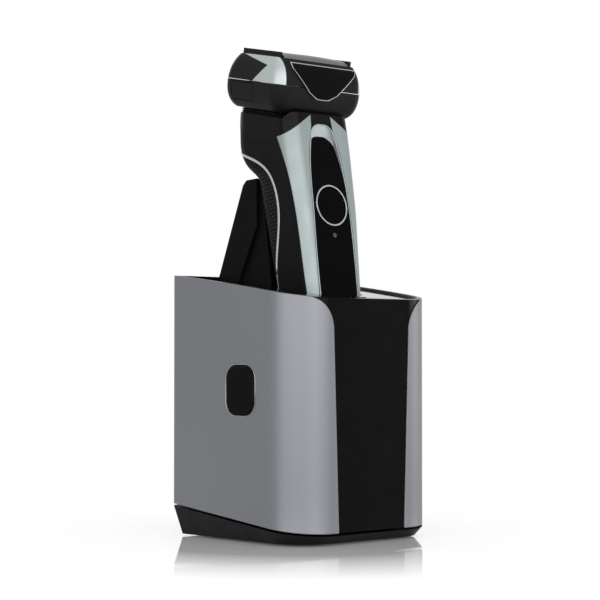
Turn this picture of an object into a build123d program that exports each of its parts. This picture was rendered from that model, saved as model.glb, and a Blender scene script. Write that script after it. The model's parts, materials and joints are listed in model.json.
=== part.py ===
"""Foil shaver standing in its charging and cleaning dock, as separate pieces.

Millimetres, +Z up, front towards -Y. The origin is on the floor under the middle of the dock.
"""
import os
from math import atan, cos, degrees, radians, sin

from build123d import *

os.makedirs("parts", exist_ok=True)

# Clearances
fit = 0.3  # seam between neighbouring pieces
play = 0.4  # running clearance round a push button
seat = 0.3  # rest gap under a piece that lifts off

# Dock housing
dock_width = 114.0
dock_depth = 114.0
dock_front_radius = 26.0
dock_back_radius = 4.0
dock_wall = 3.0
rim_back = 156.0  # height of the rim at the back
rim_front = 140.6  # height of the rim at the front
rim_bow = 0.9  # rise of the rim's curve in the middle
seam_back = 19.5  # height of the housing's lower edge at the back
seam_front = 7.0
seam_gap = 1.4  # shadow line between housing and tray
strip_half = 30.3  # half width of the front strip under its shoulders
strip_foot = 26.3  # half width of the front strip at the floor
strip_shoulder = 19.5  # radius of the strip's shoulders
front_recess = 0.7  # front panel behind the side panels
rear_half = 46.0  # half width of the rear panel
deck_drop = 1.4  # deck below the rim
deck_thickness = 3.0
chassis_wall = 2.0
chassis_base = 36.0  # underside of the chassis

# Liquid tray
tray_inset = 4.6  # how far the tray draws in at the floor
foot_lift = 1.0  # tray underside above the floor
foot_sink = 0.8  # foot set into the tray
foot_size = 12.0
foot_spread = 34.0
dish_width = 80.0
dish_depth = 76.0
dish_wall = 2.0
dish_floor = 3.2
dish_top = chassis_base - seat  # the chassis rests on the dish's rim
dish_radius = 3.0

# Release button on each flank
button_width = 24.4
button_height = 28.4
button_radius = 8.0
button_y = -6.6
button_z = 87.8
button_proud = 0.8
button_depth = 8.0
button_travel = 2.5
well_wall = 2.0
leaf_width = 8.0
leaf_thickness = 0.5

# Column behind the shaver
column_top = 214.0
column_half_foot = 23.0
column_half_top = 18.5
column_back_foot = dock_depth / 2 - dock_wall
column_back_top = 35.5
column_flank = 2.2  # depth of the recessed flanks

# Dock inner pieces
inlet_width = 16.0
inlet_height = 11.0
inlet_depth = 14.0
inlet_z = 46.0
inlet_lip = 2.0
start_radius = 4.5
start_y = -46.0
start_proud = 0.8

# Shaver handle, measured along its leaning axis
lean = 10.0  # degrees backwards
handle_y = -14.0  # foot of the axis
handle_z = 128.0
foot_half = 19.0
waist_half = 22.5
ring_half = 25.0
shoulder_half = 26.0
foot_front = 15.0
waist_front = 18.5
ring_front = 20.5
grip_back = 17.5  # depth behind the axis along the grip
bulge_back = 31.6  # depth behind the axis at the finger stop
front_radius = 9.0
back_radius = 12.0
shell_wall = 3.2
skin = 1.5  # thickness of the inlaid pieces
skin_gap = 0.1  # under the inlaid pieces
bead = 0.35  # height of the bright lines
cradle_gap = 0.9
cradle_wall = 2.0
cradle_floor = 2.5
cavity_ceiling = 98.0

# Front of the handle
ring_height = 66.0  # centre of the button ring along the axis
ring_radius = 12.4
ring_width = 0.9
ring_proud = 0.5
lamp_height = 48.0
lamp_radius = 1.4
leg_width = 0.6  # legs of the arch frame
arch_inner = 108.6  # top of the inlay
arch_top = 115.6  # top of the arch frame
scoop_low = 79.5  # where the inlay starts to sink behind the bands
scoop_depth = 3.0
panel_foot = 9.0  # lower end of inlay and bands
line_width = 1.5  # chrome line round the grip

# Trimmer on the back
trimmer_half = 16.0
trimmer_low = 100.5
trimmer_pin_y = 25.5
trimmer_pin_h = 120.5
trimmer_round = 4.6
trimmer_pin_radius = 1.2
comb_low = 101.0
comb_thickness = 0.9

# Head, tilted forwards
tilt = 11.0  # degrees
head_y = 13.3
head_z = 255.0
head_half = 34.5
head_half_top = 30.0
head_half_low = 29.0
head_deep = 26.5
head_deep_top = 22.0
head_deep_low = 21.5
head_radius = 8.0
head_height = 32.0
head_split = 16.0
head_wall = 2.4
neck_gap = 3.2
pivot_height = 6.0
rock_room = 7.0  # degrees each way that the collar leaves free for the head
pivot_radius = 1.5
pivot_fit = 0.05
boot_half = 24.0
boot_deep = 19.0
boot_shift = 2.0  # backwards
boot_wall = 2.5

# Foils and blades
foil_pitch = 12.6
foil_radius = 5.7
foil_thickness = 0.5
foil_half = 26.0
foil_top = 35.4
foil_bow = 420.0  # radius of the foils' curve from end to end
blade_gap = 0.75
blade_count = 11
blade_thickness = 1.0
blade_pitch = 4.5
fin_sides = 10


# Curves and outlines of the dock
def rim_z(y, drop=0.0):
    middle = (rim_back + rim_front) / 2 + y * (rim_back - rim_front) / dock_depth
    return middle + rim_bow * (1 - (2 * y / dock_depth) ** 2) - drop


def seam_z(y, drop=0.0):
    return (seam_back + seam_front) / 2 + y * (seam_back - seam_front) / dock_depth - drop


def dock_plan(inset, plane=Plane.XY, stretch=1.0):
    """Plan of the dock, drawn in evenly, with wide corners at the front."""
    with BuildSketch(plane, mode=Mode.PRIVATE) as plan:
        Rectangle(dock_width - 2 * inset, (dock_depth - 2 * inset) * stretch)
        fillet(plan.vertices().group_by(Axis.Y)[0], dock_front_radius - inset)
        fillet(plan.vertices().group_by(Axis.Y)[-1], max(dock_back_radius - inset, 1.0))
    return plan.sketch


def rim_slice(drop, low):
    """Side view under the rim, lowered by drop, down to the seam or to a level."""
    reach = dock_depth / 2 + 5
    front_low, back_low = low
    with BuildSketch(Plane.YZ, mode=Mode.PRIVATE) as side:
        with BuildLine():
            ThreePointArc((reach, rim_z(reach, drop)), (0, rim_z(0, drop)), (-reach, rim_z(-reach, drop)))
            Line((-reach, rim_z(-reach, drop)), (-reach, front_low))
            Line((-reach, front_low), (reach, back_low))
            Line((reach, back_low), (reach, rim_z(reach, drop)))
        make_face()
    return side.sketch


strip_edge = strip_half + strip_shoulder  # where the shoulders meet the rim
past_corner = strip_edge - dock_width / 2 + dock_front_radius
strip_back = dock_front_radius - dock_depth / 2 - (dock_front_radius ** 2 - past_corner ** 2) ** 0.5


def strip_outline(gap):
    """Front strip seen from the front, wider at the top, with hollow round shoulders."""
    foot = strip_foot - gap
    neck = strip_half - gap
    reach = strip_edge
    shoulder_z = rim_z(strip_back) - strip_shoulder
    turn = strip_shoulder + gap
    mid = turn * cos(radians(45))
    with BuildSketch(Plane.XZ.offset(dock_depth / 2 + 1), mode=Mode.PRIVATE) as front:
        with BuildLine():
            Line((foot, 0), (neck, shoulder_z))
            ThreePointArc((neck, shoulder_z), (reach - mid, shoulder_z + mid), (reach, shoulder_z + turn))
            Line((reach, shoulder_z + turn), (reach, rim_back))
            Line((reach, rim_back), (0, rim_back))
            mirror(about=Plane.YZ)
            Line((-foot, 0), (foot, 0))
        make_face()
    return front.sketch


def block(plane, x_range, y_range, z_range):
    """Box in the frame of a plane."""
    with BuildPart(mode=Mode.PRIVATE) as box:
        with BuildSketch(plane.offset(z_range[0])):
            with Locations((sum(x_range) / 2, sum(y_range) / 2)):
                Rectangle(x_range[1] - x_range[0], y_range[1] - y_range[0])
        extrude(amount=z_range[1] - z_range[0])
    return box.part


def rounded_block(plane, x_range, y_range, z_range, radius):
    """Box with rounded corners in the plane of its section."""
    with BuildPart(mode=Mode.PRIVATE) as box:
        with BuildSketch(plane.offset(z_range[0])):
            with Locations((sum(x_range) / 2, sum(y_range) / 2)):
                RectangleRounded(x_range[1] - x_range[0], y_range[1] - y_range[0], radius)
        extrude(amount=z_range[1] - z_range[0])
    return box.part


# Frames of the leaning handle and of the tilted head
lean_sin = sin(radians(lean))
lean_cos = cos(radians(lean))
tilt_sin = sin(radians(tilt))
tilt_cos = cos(radians(tilt))
handle_origin = (0, handle_y, handle_z)
handle = Plane(origin=handle_origin, x_dir=(1, 0, 0), z_dir=(0, lean_sin, lean_cos))
handle_face = Plane(origin=handle_origin, x_dir=(1, 0, 0), z_dir=(0, -lean_cos, lean_sin))
handle_side = Plane(origin=handle_origin, x_dir=(0, lean_cos, -lean_sin), z_dir=(1, 0, 0))
head_origin = (0, head_y, head_z)
head = Plane(origin=head_origin, x_dir=(1, 0, 0), z_dir=(0, -tilt_sin, tilt_cos))
head_face = Plane(origin=head_origin, x_dir=(1, 0, 0), z_dir=(0, -tilt_cos, -tilt_sin))
head_flank = Plane(origin=head_origin, x_dir=(0, tilt_cos, tilt_sin), z_dir=(1, 0, 0))


def handle_body(inset):
    """Whole handle as one smooth form, drawn in evenly; the sections climb the leaning axis."""
    stations = (
        (0, foot_half, foot_front, foot_front - 1),
        (5, waist_half - 1.3, waist_front - 1.3, grip_back - 1.3),
        (16, waist_half, waist_front, grip_back - 0.5),
        (40, (waist_half + ring_half) / 2, (waist_front + ring_front) / 2, grip_back - 0.4),
        (ring_height, ring_half, ring_front, grip_back - 0.2),
        (80, ring_half + 0.5, ring_front, grip_back),
        (89, ring_half + 0.7, ring_front, grip_back + 1.2),
        (99, shoulder_half, ring_front, bulge_back - 4.5),
        (110, shoulder_half, ring_front, bulge_back),
        (122, shoulder_half - 0.3, ring_front, bulge_back - 0.8),
        (134, shoulder_half - 1, ring_front, bulge_back - 2.6),
        (146, shoulder_half - 2, ring_front, bulge_back - 5),
    )
    with BuildPart(mode=Mode.PRIVATE) as body:
        for height, half, front, back in stations:
            with BuildSketch(handle.offset(height)) as section:
                with Locations((0, (back - front) / 2)):
                    Rectangle(2 * (half - inset), front + back - 2 * inset)
                fillet(section.vertices().group_by(Axis.Y)[0], front_radius - inset)
                fillet(section.vertices().group_by(Axis.Y)[-1], back_radius - inset)
        loft()
    return body.part


def head_body(inset):
    """Whole head as one smooth barrel, drawn in evenly."""
    stations = (
        (0, head_half_low, head_deep_low),
        (0.2 * head_height, head_half - 1, head_deep - 1),
        (0.42 * head_height, head_half, head_deep),
        (0.62 * head_height, head_half - 0.3, head_deep - 0.3),
        (head_height, head_half_top, head_deep_top),
    )
    with BuildPart(mode=Mode.PRIVATE) as body:
        for height, half, deep in stations:
            with BuildSketch(head.offset(height)):
                RectangleRounded(2 * (half - inset), 2 * (deep - inset), head_radius - inset)
        loft()
    return body.part


handle_outer = handle_body(0)
handle_under = handle_body(skin)
handle_pocket = handle_body(skin + skin_gap)
handle_bead = handle_body(-bead)
head_outer = head_body(0)
head_under = head_body(skin)
head_pocket = head_body(skin + skin_gap)
head_inner = head_body(head_wall)


def side_region(points, plane, reach):
    """Closed side-view region of straight edges, as a tool through the whole width."""
    with BuildPart(mode=Mode.PRIVATE) as region:
        with BuildSketch(plane):
            with BuildLine():
                Polyline(*points, close=True)
            make_face()
        extrude(amount=reach, both=True)
    return region.part


# Dock housing
housing_inset = dock_wall + fit
housing_side = rim_slice(0, (seam_z(-dock_depth / 2 - 5), seam_z(dock_depth / 2 + 5)))
deck_under = rim_slice(deck_drop + deck_thickness, (chassis_base, chassis_base))
strip_cut = strip_outline(0)
strip_fill = strip_outline(fit)
strip_reach = dock_depth / 2 + 1 + strip_back
panel_plan = dock_plan(0)
panel_inner_plan = dock_plan(dock_wall)
front_plan = dock_plan(front_recess)
deck_plan = dock_plan(housing_inset)
chassis_inner_plan = dock_plan(housing_inset + chassis_wall)

# Side panels: thin shells round the flank and the front corner
with BuildPart() as left_side_panel:
    with BuildSketch():
        add(panel_plan)
        add(panel_inner_plan, mode=Mode.SUBTRACT)
    extrude(amount=rim_back + 5)
    extrude(housing_side, amount=dock_width, both=True, mode=Mode.INTERSECT)
    extrude(strip_cut, amount=-strip_reach, mode=Mode.SUBTRACT)
    with BuildSketch(Plane.XZ.offset(-dock_depth / 2 + dock_wall)):
        with Locations((0, rim_back / 2)):
            Rectangle(2 * rear_half, 2 * rim_back)
    extrude(amount=-2 * dock_wall, mode=Mode.SUBTRACT)
    with BuildSketch(Plane.YZ):
        with Locations((button_y, button_z)):
            RectangleRounded(button_width + 2 * play, button_height + 2 * play, button_radius + play)
    extrude(amount=-dock_width, mode=Mode.SUBTRACT)
    split(bisect_by=Plane.YZ, keep=Keep.BOTTOM)

with BuildPart() as right_side_panel:
    mirror(left_side_panel.part, about=Plane.YZ)

# Front panel: gloss strip that spreads to the rim
with BuildPart() as front_panel:
    with BuildSketch():
        add(front_plan)
        add(panel_inner_plan, mode=Mode.SUBTRACT)
    extrude(amount=rim_back + 5)
    extrude(housing_side, amount=dock_width, both=True, mode=Mode.INTERSECT)
    extrude(strip_fill, amount=fit - strip_reach, mode=Mode.INTERSECT)

# Rear panel with the power inlet's opening and cooling slots
vent_count = 5
vent_pitch = 7.0
vent_length = 36.0
vent_height = 2.4
vent_z = 92.0
with BuildPart() as rear_panel:
    with BuildSketch(Plane.XZ.offset(-dock_depth / 2 + dock_wall)):
        with Locations((0, rim_back / 2)):
            Rectangle(2 * (rear_half - fit), rim_back + 10)
    extrude(amount=-dock_wall)
    extrude(housing_side, amount=dock_width, both=True, mode=Mode.INTERSECT)
    with BuildSketch(Plane.XZ.offset(-dock_depth / 2)):
        with Locations((0, inlet_z)):
            Rectangle(inlet_width + 2 * fit, inlet_height + 2 * fit)
        with Locations((0, vent_z)):
            with GridLocations(0, vent_pitch, 1, vent_count):
                Rectangle(vent_length, vent_height)
    extrude(amount=2 * dock_wall, both=True, mode=Mode.SUBTRACT)

# Power inlet: a socket shell with two pins, set in the rear panel
inlet_back = dock_depth / 2
with BuildPart() as power_inlet:
    with BuildSketch(Plane.XZ.offset(-inlet_back)):
        with Locations((0, inlet_z)):
            Rectangle(inlet_width, inlet_height)
    extrude(amount=inlet_depth)
    with BuildSketch(Plane.XZ.offset(-inlet_back)):
        with Locations((0, inlet_z)):
            RectangleRounded(inlet_width - 2 * inlet_lip, inlet_height - 2 * inlet_lip, inlet_lip)
    extrude(amount=inlet_depth - inlet_lip, mode=Mode.SUBTRACT)
    with BuildSketch(Plane.XZ.offset(-inlet_back + inlet_depth - inlet_lip)):
        with Locations((0, inlet_z)):
            with GridLocations(inlet_width / 2.6, 0, 2, 1):
                Rectangle(inlet_lip / 2, inlet_lip)
    extrude(amount=-(inlet_depth - 2 * inlet_lip))

# Leaning socket for the shaver's foot, used by the deck, the cradle and the column
def socket(grow, low, high):
    half = waist_half + grow
    front = waist_front + grow
    back = grip_back + grow
    with BuildPart(mode=Mode.PRIVATE) as well:
        with BuildSketch(handle.offset(low)) as section:
            with Locations((0, (back - front) / 2)):
                Rectangle(2 * half, front + back)
            fillet(section.vertices().group_by(Axis.Y)[0], front_radius + grow)
            fillet(section.vertices().group_by(Axis.Y)[-1], back_radius + grow)
        extrude(amount=high - low)
    return well.part


def trough(grow):
    """Path of the handle's back as it lifts out along the axis."""
    half = ring_half + 0.7 + grow
    back = grip_back + 1 + grow
    with BuildPart(mode=Mode.PRIVATE) as path:
        with BuildSketch(handle) as section:
            with Locations((0, (back - ring_front) / 2)):
                Rectangle(2 * half, back + ring_front)
            fillet(section.vertices().group_by(Axis.Y)[-1], back_radius + grow)
        extrude(amount=140)
    return path.part


socket_space = socket(cradle_gap, -seat, 60)
socket_shell = socket(cradle_gap + cradle_wall, -seat - cradle_floor, 60)
handle_path = trough(cradle_gap)
handle_clear = handle_body(-cradle_gap)

# Deck under the rim, with the shaver's socket and the start button's bore
with BuildPart() as top_deck:
    with BuildSketch(Plane.XY.offset(chassis_base)):
        add(deck_plan)
    extrude(amount=rim_back)
    chassis_slice = rim_slice(deck_drop, (chassis_base, chassis_base))
    extrude(chassis_slice, amount=dock_width, both=True, mode=Mode.INTERSECT)
    extrude(deck_under, amount=dock_width, both=True, mode=Mode.SUBTRACT)
    add(socket_space, mode=Mode.SUBTRACT)
    with BuildSketch(Plane.XY.offset(rim_front - 20)):
        with Locations((0, start_y)):
            Circle(start_radius + play)
    extrude(amount=40, mode=Mode.SUBTRACT)

# Cradle: the cup under the deck in which the handle stands
with BuildPart() as cradle:
    add(socket_shell)
    extrude(deck_under, amount=dock_width, both=True, mode=Mode.INTERSECT)
    add(socket_space, mode=Mode.SUBTRACT)

# Chassis: inner box that carries the panels, with a well for each release button
well_depth = button_depth + button_travel + 2 * well_wall
well_left = -dock_width / 2 + dock_wall + fit
button_space = block(
    Plane.YZ,
    (button_y - button_width / 2 - play, button_y + button_width / 2 + play),
    (button_z - button_height / 2 - play, button_z + button_height / 2 + play),
    (-dock_width / 2 - 5, -dock_width / 2 + well_depth - well_wall),
)
button_well = block(
    Plane.YZ,
    (button_y - button_width / 2 - play - well_wall, button_y + button_width / 2 + play + well_wall),
    (button_z - button_height / 2 - play - well_wall, button_z + button_height / 2 + play + well_wall),
    (well_left, -dock_width / 2 + well_depth),
)
inlet_space = block(
    Plane.XZ,
    (-inlet_width / 2 - fit, inlet_width / 2 + fit),
    (inlet_z - inlet_height / 2 - fit, inlet_z + inlet_height / 2 + fit),
    (-dock_depth, 0),
)
with BuildPart() as dock_chassis:
    with BuildSketch(Plane.XY.offset(chassis_base)):
        add(deck_plan)
    extrude(amount=rim_back)
    with BuildSketch(Plane.XY.offset(chassis_base + chassis_wall)):
        add(chassis_inner_plan)
    extrude(amount=rim_back, mode=Mode.SUBTRACT)
    extrude(deck_under, amount=dock_width, both=True, mode=Mode.INTERSECT)
    add(button_well)
    mirror(button_well, about=Plane.YZ)
    add(button_space, mode=Mode.SUBTRACT)
    mirror(button_space, about=Plane.YZ, mode=Mode.SUBTRACT)
    add(inlet_space, mode=Mode.SUBTRACT)

# Tray: base under the housing that draws in towards the floor, with the liquid dish
seam_pitch = atan((seam_back - seam_front) / dock_depth)
tray_top = Plane(
    origin=(0, 0, seam_z(0, seam_gap)), x_dir=(1, 0, 0), z_dir=(0, -sin(seam_pitch), cos(seam_pitch))
)
tray_floor_plan = dock_plan(tray_inset, Plane.XY.offset(foot_lift))
tray_top_plan = dock_plan(0, tray_top, 1 / cos(seam_pitch))
dish_outer = rounded_block(
    Plane.XY,
    (-dish_width / 2, dish_width / 2),
    (-dish_depth / 2, dish_depth / 2),
    (foot_lift, dish_top),
    dish_radius,
)
with BuildPart() as cleaning_tray:
    loft([tray_floor_plan.face(), tray_top_plan.face()], ruled=True)
    add(dish_outer)
    with BuildSketch(Plane.XY.offset(dish_floor)):
        RectangleRounded(dish_width - 2 * dish_wall, dish_depth - 2 * dish_wall, dish_radius - dish_wall)
    extrude(amount=dish_top, mode=Mode.SUBTRACT)
    with BuildSketch(Plane.XY.offset(foot_lift)):
        with GridLocations(2 * foot_spread, 2 * foot_spread, 2, 2):
            Rectangle(foot_size, foot_size)
    extrude(amount=foot_sink, mode=Mode.SUBTRACT)

with BuildPart() as tray_feet:
    with BuildSketch():
        with GridLocations(2 * foot_spread, 2 * foot_spread, 2, 2):
            Rectangle(foot_size - fit / 2, foot_size - fit / 2)
    extrude(amount=foot_lift + foot_sink)

# Release buttons: hollow caps that slide into their wells against a leaf spring
button_back = -dock_width / 2 - button_proud + button_depth
well_bottom = -dock_width / 2 + well_depth - well_wall
with BuildPart() as left_release_button:
    with BuildSketch(Plane.YZ.offset(-dock_width / 2 - button_proud)):
        with Locations((button_y, button_z)):
            RectangleRounded(button_width, button_height, button_radius)
    extrude(amount=button_depth)
    chamfer(left_release_button.faces().sort_by(Axis.X)[0].edges(), button_proud)
    with BuildSketch(Plane.YZ.offset(button_back)):
        with Locations((button_y, button_z)):
            Rectangle(button_width - 8, button_height - 8)
    extrude(amount=-(button_depth - 3), mode=Mode.SUBTRACT)

with BuildPart() as right_release_button:
    mirror(left_release_button.part, about=Plane.YZ)

# Leaf spring bowed from the well's floor to the inside of the cap
leaf_low = well_bottom - 0.1
leaf_high = button_back - (button_depth - 3) + 0.1
leaf_reach = button_height / 2 - 4
with BuildPart() as left_button_spring:
    with BuildSketch(Plane.XZ.offset(-button_y - leaf_width / 2)):
        with BuildLine():
            ThreePointArc(
                (leaf_low, button_z - leaf_reach), (leaf_high, button_z), (leaf_low, button_z + leaf_reach)
            )
            Line((leaf_low, button_z + leaf_reach), (leaf_low, button_z + leaf_reach - leaf_thickness))
            ThreePointArc(
                (leaf_low, button_z + leaf_reach - leaf_thickness),
                (leaf_high + leaf_thickness, button_z),
                (leaf_low, button_z - leaf_reach + leaf_thickness),
            )
            Line((leaf_low, button_z - leaf_reach + leaf_thickness), (leaf_low, button_z - leaf_reach))
        make_face()
    extrude(amount=leaf_width)

with BuildPart() as right_button_spring:
    mirror(left_button_spring.part, about=Plane.YZ)

# Column: a wedge behind the shaver with a trough for the handle's back and recessed flanks
column_low = rim_z(0, deck_drop) - 6


def column_wedge(inset):
    """Front view of the column, narrower at the top, as a tool from front to back."""
    with BuildPart(mode=Mode.PRIVATE) as wedge:
        with BuildSketch(Plane.XZ):
            with BuildLine():
                Polyline(
                    (inset - column_half_foot, column_low),
                    (column_half_foot - inset, column_low),
                    (column_half_top - inset, column_top + 4),
                    (inset - column_half_top, column_top + 4),
                    close=True,
                )
            make_face()
        extrude(amount=dock_depth, both=True)
    return wedge.part


column_side = side_region(
    (
        (0, column_low),
        (column_back_foot, column_low),
        (column_back_foot, rim_z(column_back_foot)),
        (column_back_top, column_top - 3),
        (column_back_top - 3, column_top),
        (8, column_top + 1.5),
    ),
    Plane.YZ,
    column_half_foot,
)
flank_side = side_region(
    (
        (column_back_foot - 14, column_low),
        (21, column_low + 44),
        (23.5, column_top + 5),
        (-5, column_top + 5),
        (-5, column_low),
    ),
    Plane.YZ,
    dock_width,
)
column_outer = column_wedge(0)
column_core = column_wedge(column_flank)
contact_half = 2.2
contact_x = 8.0
contact_low = 37.0
contact_high = 45.0
contact_back = grip_back + 6
contact_spaces = [
    block(
        handle,
        (side * contact_x - contact_half - 0.1, side * contact_x + contact_half + 0.1),
        (grip_back, contact_back + 0.1),
        (contact_low - 0.1, contact_high + 0.1),
    )
    for side in (-1, 1)
]
with BuildPart(mode=Mode.PRIVATE) as flank_cut:
    add(flank_side)
    add(column_core, mode=Mode.SUBTRACT)
with BuildPart() as charging_column:
    add(column_side)
    add(column_outer, mode=Mode.INTERSECT)
    add(flank_cut.part, mode=Mode.SUBTRACT)
    add(handle_path, mode=Mode.SUBTRACT)
    add(handle_clear, mode=Mode.SUBTRACT)
    extrude(rim_slice(deck_drop, (0, 0)), amount=dock_width, both=True, mode=Mode.SUBTRACT)
    for space in contact_spaces:
        add(space, mode=Mode.SUBTRACT)

# Sprung charge contacts in the trough
with BuildPart() as column_contacts:
    with BuildSketch(handle.offset(contact_low)):
        for side in (-1, 1):
            with Locations((side * contact_x, (grip_back + fit + contact_back) / 2)):
                Rectangle(2 * contact_half, contact_back - grip_back - fit)
    extrude(amount=contact_high - contact_low)
    nose = column_contacts.faces().sort_by(Axis.Y)[:2]
    fillet(nose.edges().filter_by(Axis.X), 0.8)

# Start button in the deck
start_top = rim_z(start_y, deck_drop)
with BuildPart() as start_button:
    with BuildSketch(Plane.XY.offset(start_top - 6)):
        with Locations((0, start_y)):
            Circle(start_radius)
    extrude(amount=6 + start_proud)
    chamfer(start_button.faces().sort_by(Axis.Z)[-1].edges(), start_proud / 2)

# Inner pieces on the chassis floor
floor_z = chassis_base + chassis_wall
transformer_width = 36.0
transformer_depth = 28.0
transformer_height = 30.0
with BuildPart() as transformer:
    with BuildSketch(Plane.XY.offset(floor_z)):
        with Locations((24, 20)):
            RectangleRounded(transformer_width, transformer_depth, 2)
    extrude(amount=transformer_height)
    with BuildSketch(Plane.XY.offset(floor_z + transformer_height / 2)):
        with Locations((24, 20)):
            Rectangle(transformer_width + 4, transformer_depth - 8)
    extrude(amount=transformer_height / 4, both=True)

pump_radius = 14.0
pump_height = 14.0
pump_motor_radius = 10.5
pump_motor_height = 28.0
with BuildPart() as pump_housing:
    with BuildSketch(Plane.XY.offset(floor_z)):
        with Locations((-22, 20)):
            Circle(pump_radius)
            with Locations((0, pump_radius)):
                Rectangle(8, 16)
    extrude(amount=pump_height)

with BuildPart() as pump_motor:
    with BuildSketch(Plane.XY.offset(floor_z + pump_height)):
        with Locations((-22, 20)):
            Circle(pump_motor_radius)
    extrude(amount=pump_motor_height)

board_width = 70.0
board_height = 52.0
board_thickness = 1.6
board_y = -34.0
with BuildPart() as dock_circuit_board:
    with BuildSketch(Plane.XZ.offset(-board_y)):
        with Locations((0, floor_z + board_height / 2)):
            Rectangle(board_width, board_height)
    extrude(amount=board_thickness)
    with BuildSketch(Plane.XZ.offset(-board_y)):
        with Locations((-18, floor_z + 30), (4, floor_z + 16), (22, floor_z + 34)):
            Rectangle(12, 12)
    extrude(amount=-3)


# Handle: regions that divide its skin
def to_handle(y, z):
    dy = y - handle_y
    dz = z - handle_z
    return dy * lean_cos - dz * lean_sin, dy * lean_sin + dz * lean_cos


neck_y, neck_h = to_handle(head_y + neck_gap * tilt_sin, head_z - neck_gap * tilt_cos)
neck_slope = sin(radians(lean + tilt)) / cos(radians(lean + tilt))
lip_height = 122.0  # front lip of the handle under the head
lip_depth = 17.5
handle_reach = 45.0


def neck_line(y):
    return neck_h + (y - neck_y) * neck_slope


above_handle = side_region(
    (
        (-handle_reach, lip_height),
        (-lip_depth, lip_height),
        (3 - lip_depth, neck_line(3 - lip_depth)),
        (handle_reach, neck_line(handle_reach)),
        (handle_reach, 180),
        (-handle_reach, 180),
    ),
    handle_side,
    handle_reach,
)


def curved_region(curve, corners, plane, reach, both=True):
    """Tool bounded by one smooth curve and straight far edges."""
    with BuildPart(mode=Mode.PRIVATE) as region:
        with BuildSketch(plane):
            with BuildLine():
                Spline(*curve)
                Polyline(curve[-1], *corners, curve[0])
            make_face()
        extrude(amount=reach, both=both)
    return region.part


parting = ((4, -6), (5.3, 42), (-1.9, 72), (3.2, 91), (15.2, 101.5), (handle_reach, 118))
collar_edge = (
    (-handle_reach, 108),
    (-ring_front, 108.6),
    (-8.4, 109.2),
    (9.4, 112.6),
    (24.3, 125.5),
    (handle_reach, 146),
)
band_back = ((-14, -6), (-14.7, 49), (-14.6, 75), (-12.3, 94), (-8.4, 109.4), (-4, 122))
band_front = (
    (-15.6, -6),
    (-15.8, 40),
    (-15, 68),
    (-13.6, 90),
    (-11, 105),
    (-9, 112),
    (-8.2, 118),
    (-8, 130),
)
rear_region = curved_region(parting, ((handle_reach, -6),), handle_side, handle_reach)
collar_corners = ((handle_reach, 180), (-handle_reach, 180))
with BuildPart(mode=Mode.PRIVATE) as collar_form:
    add(curved_region(collar_edge, collar_corners, handle_side, handle_reach))
    with BuildSketch(handle_face.offset(8.4)):
        with BuildLine():
            Polyline(
                (0, 60), (handle_reach, 60), (handle_reach, 97), (26, 109.3), (7, 121.7), (7, 180), (0, 180)
            )
            mirror(about=Plane.YZ)
        make_face()
    extrude(amount=handle_reach, mode=Mode.SUBTRACT)
collar_region = collar_form.part
band_corners = ((-handle_reach, 130), (-handle_reach, -6))
band_flank = curved_region(band_back, band_corners, handle_side, handle_reach)
band_face = curved_region(band_front, band_corners, handle_face, handle_reach)
with BuildPart(mode=Mode.PRIVATE) as line_cut:
    with BuildSketch(handle_side):
        with BuildLine():
            Spline(*parting)
        trace(line_width=line_width)
    extrude(amount=handle_reach, both=True)


def arched_outline(flank, shoulder, crown, grow):
    """Long panel seen from the handle's front: curved flanks, then an arch up to the crown."""
    edge = [(x + grow, h) for x, h in flank]
    foot = panel_foot - grow
    with BuildSketch(handle_face, mode=Mode.PRIVATE) as outline:
        with BuildLine():
            Spline((edge[0][0], foot), *edge[1:])
            ThreePointArc(edge[-1], (shoulder[0] + 0.7 * grow, shoulder[1] + 0.7 * grow), (0, crown + grow))
            mirror(about=Plane.YZ)
            Line((-edge[0][0], foot), (edge[0][0], foot))
        make_face()
    return outline.sketch


arch_flank = ((15.2, panel_foot), (15.4, 40), (14.6, 68), (13.2, 90), (10.6, 105), (8.8, 111.5))
inlay_flank = [(x - leg_width, h) for x, h in arch_flank[:4]] + [(10.2, 103.6)]


def inlay_outline(grow):
    return arched_outline(inlay_flank, (6.4, arch_inner - 1.2), arch_inner, grow)


def arch_outline(grow):
    return arched_outline(arch_flank, (5.5, arch_top - 0.9), arch_top, grow)


def scoop(sink):
    """Space in front of the sunk upper part of the inlay and the slope of the arch frame."""
    front = -ring_front + sink
    return side_region(
        (
            (-handle_reach, scoop_low),
            (front, scoop_low),
            (front + scoop_depth, arch_inner - 0.8),
            (front, arch_top + 0.6),
            (-handle_reach, arch_top + 0.6),
        ),
        handle_side,
        handle_reach,
    )


inlay_face = inlay_outline(0)
arch_hole = inlay_outline(0.1)
arch_face = arch_outline(0)
arch_pocket = arch_outline(0.1)
above_foot = block(handle, (-handle_reach, handle_reach), (-handle_reach, handle_reach), (panel_foot, 180))
cap_height = 6.0
cap_space = block(handle, (-handle_reach, handle_reach), (-handle_reach, handle_reach), (-20, cap_height))
cavity_half = waist_half - shell_wall - 1.3
cavity = block(
    handle,
    (-cavity_half, cavity_half),
    (-waist_front + shell_wall + 1.3, grip_back - shell_wall - 1.3),
    (cap_height, cavity_ceiling),
)


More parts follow.
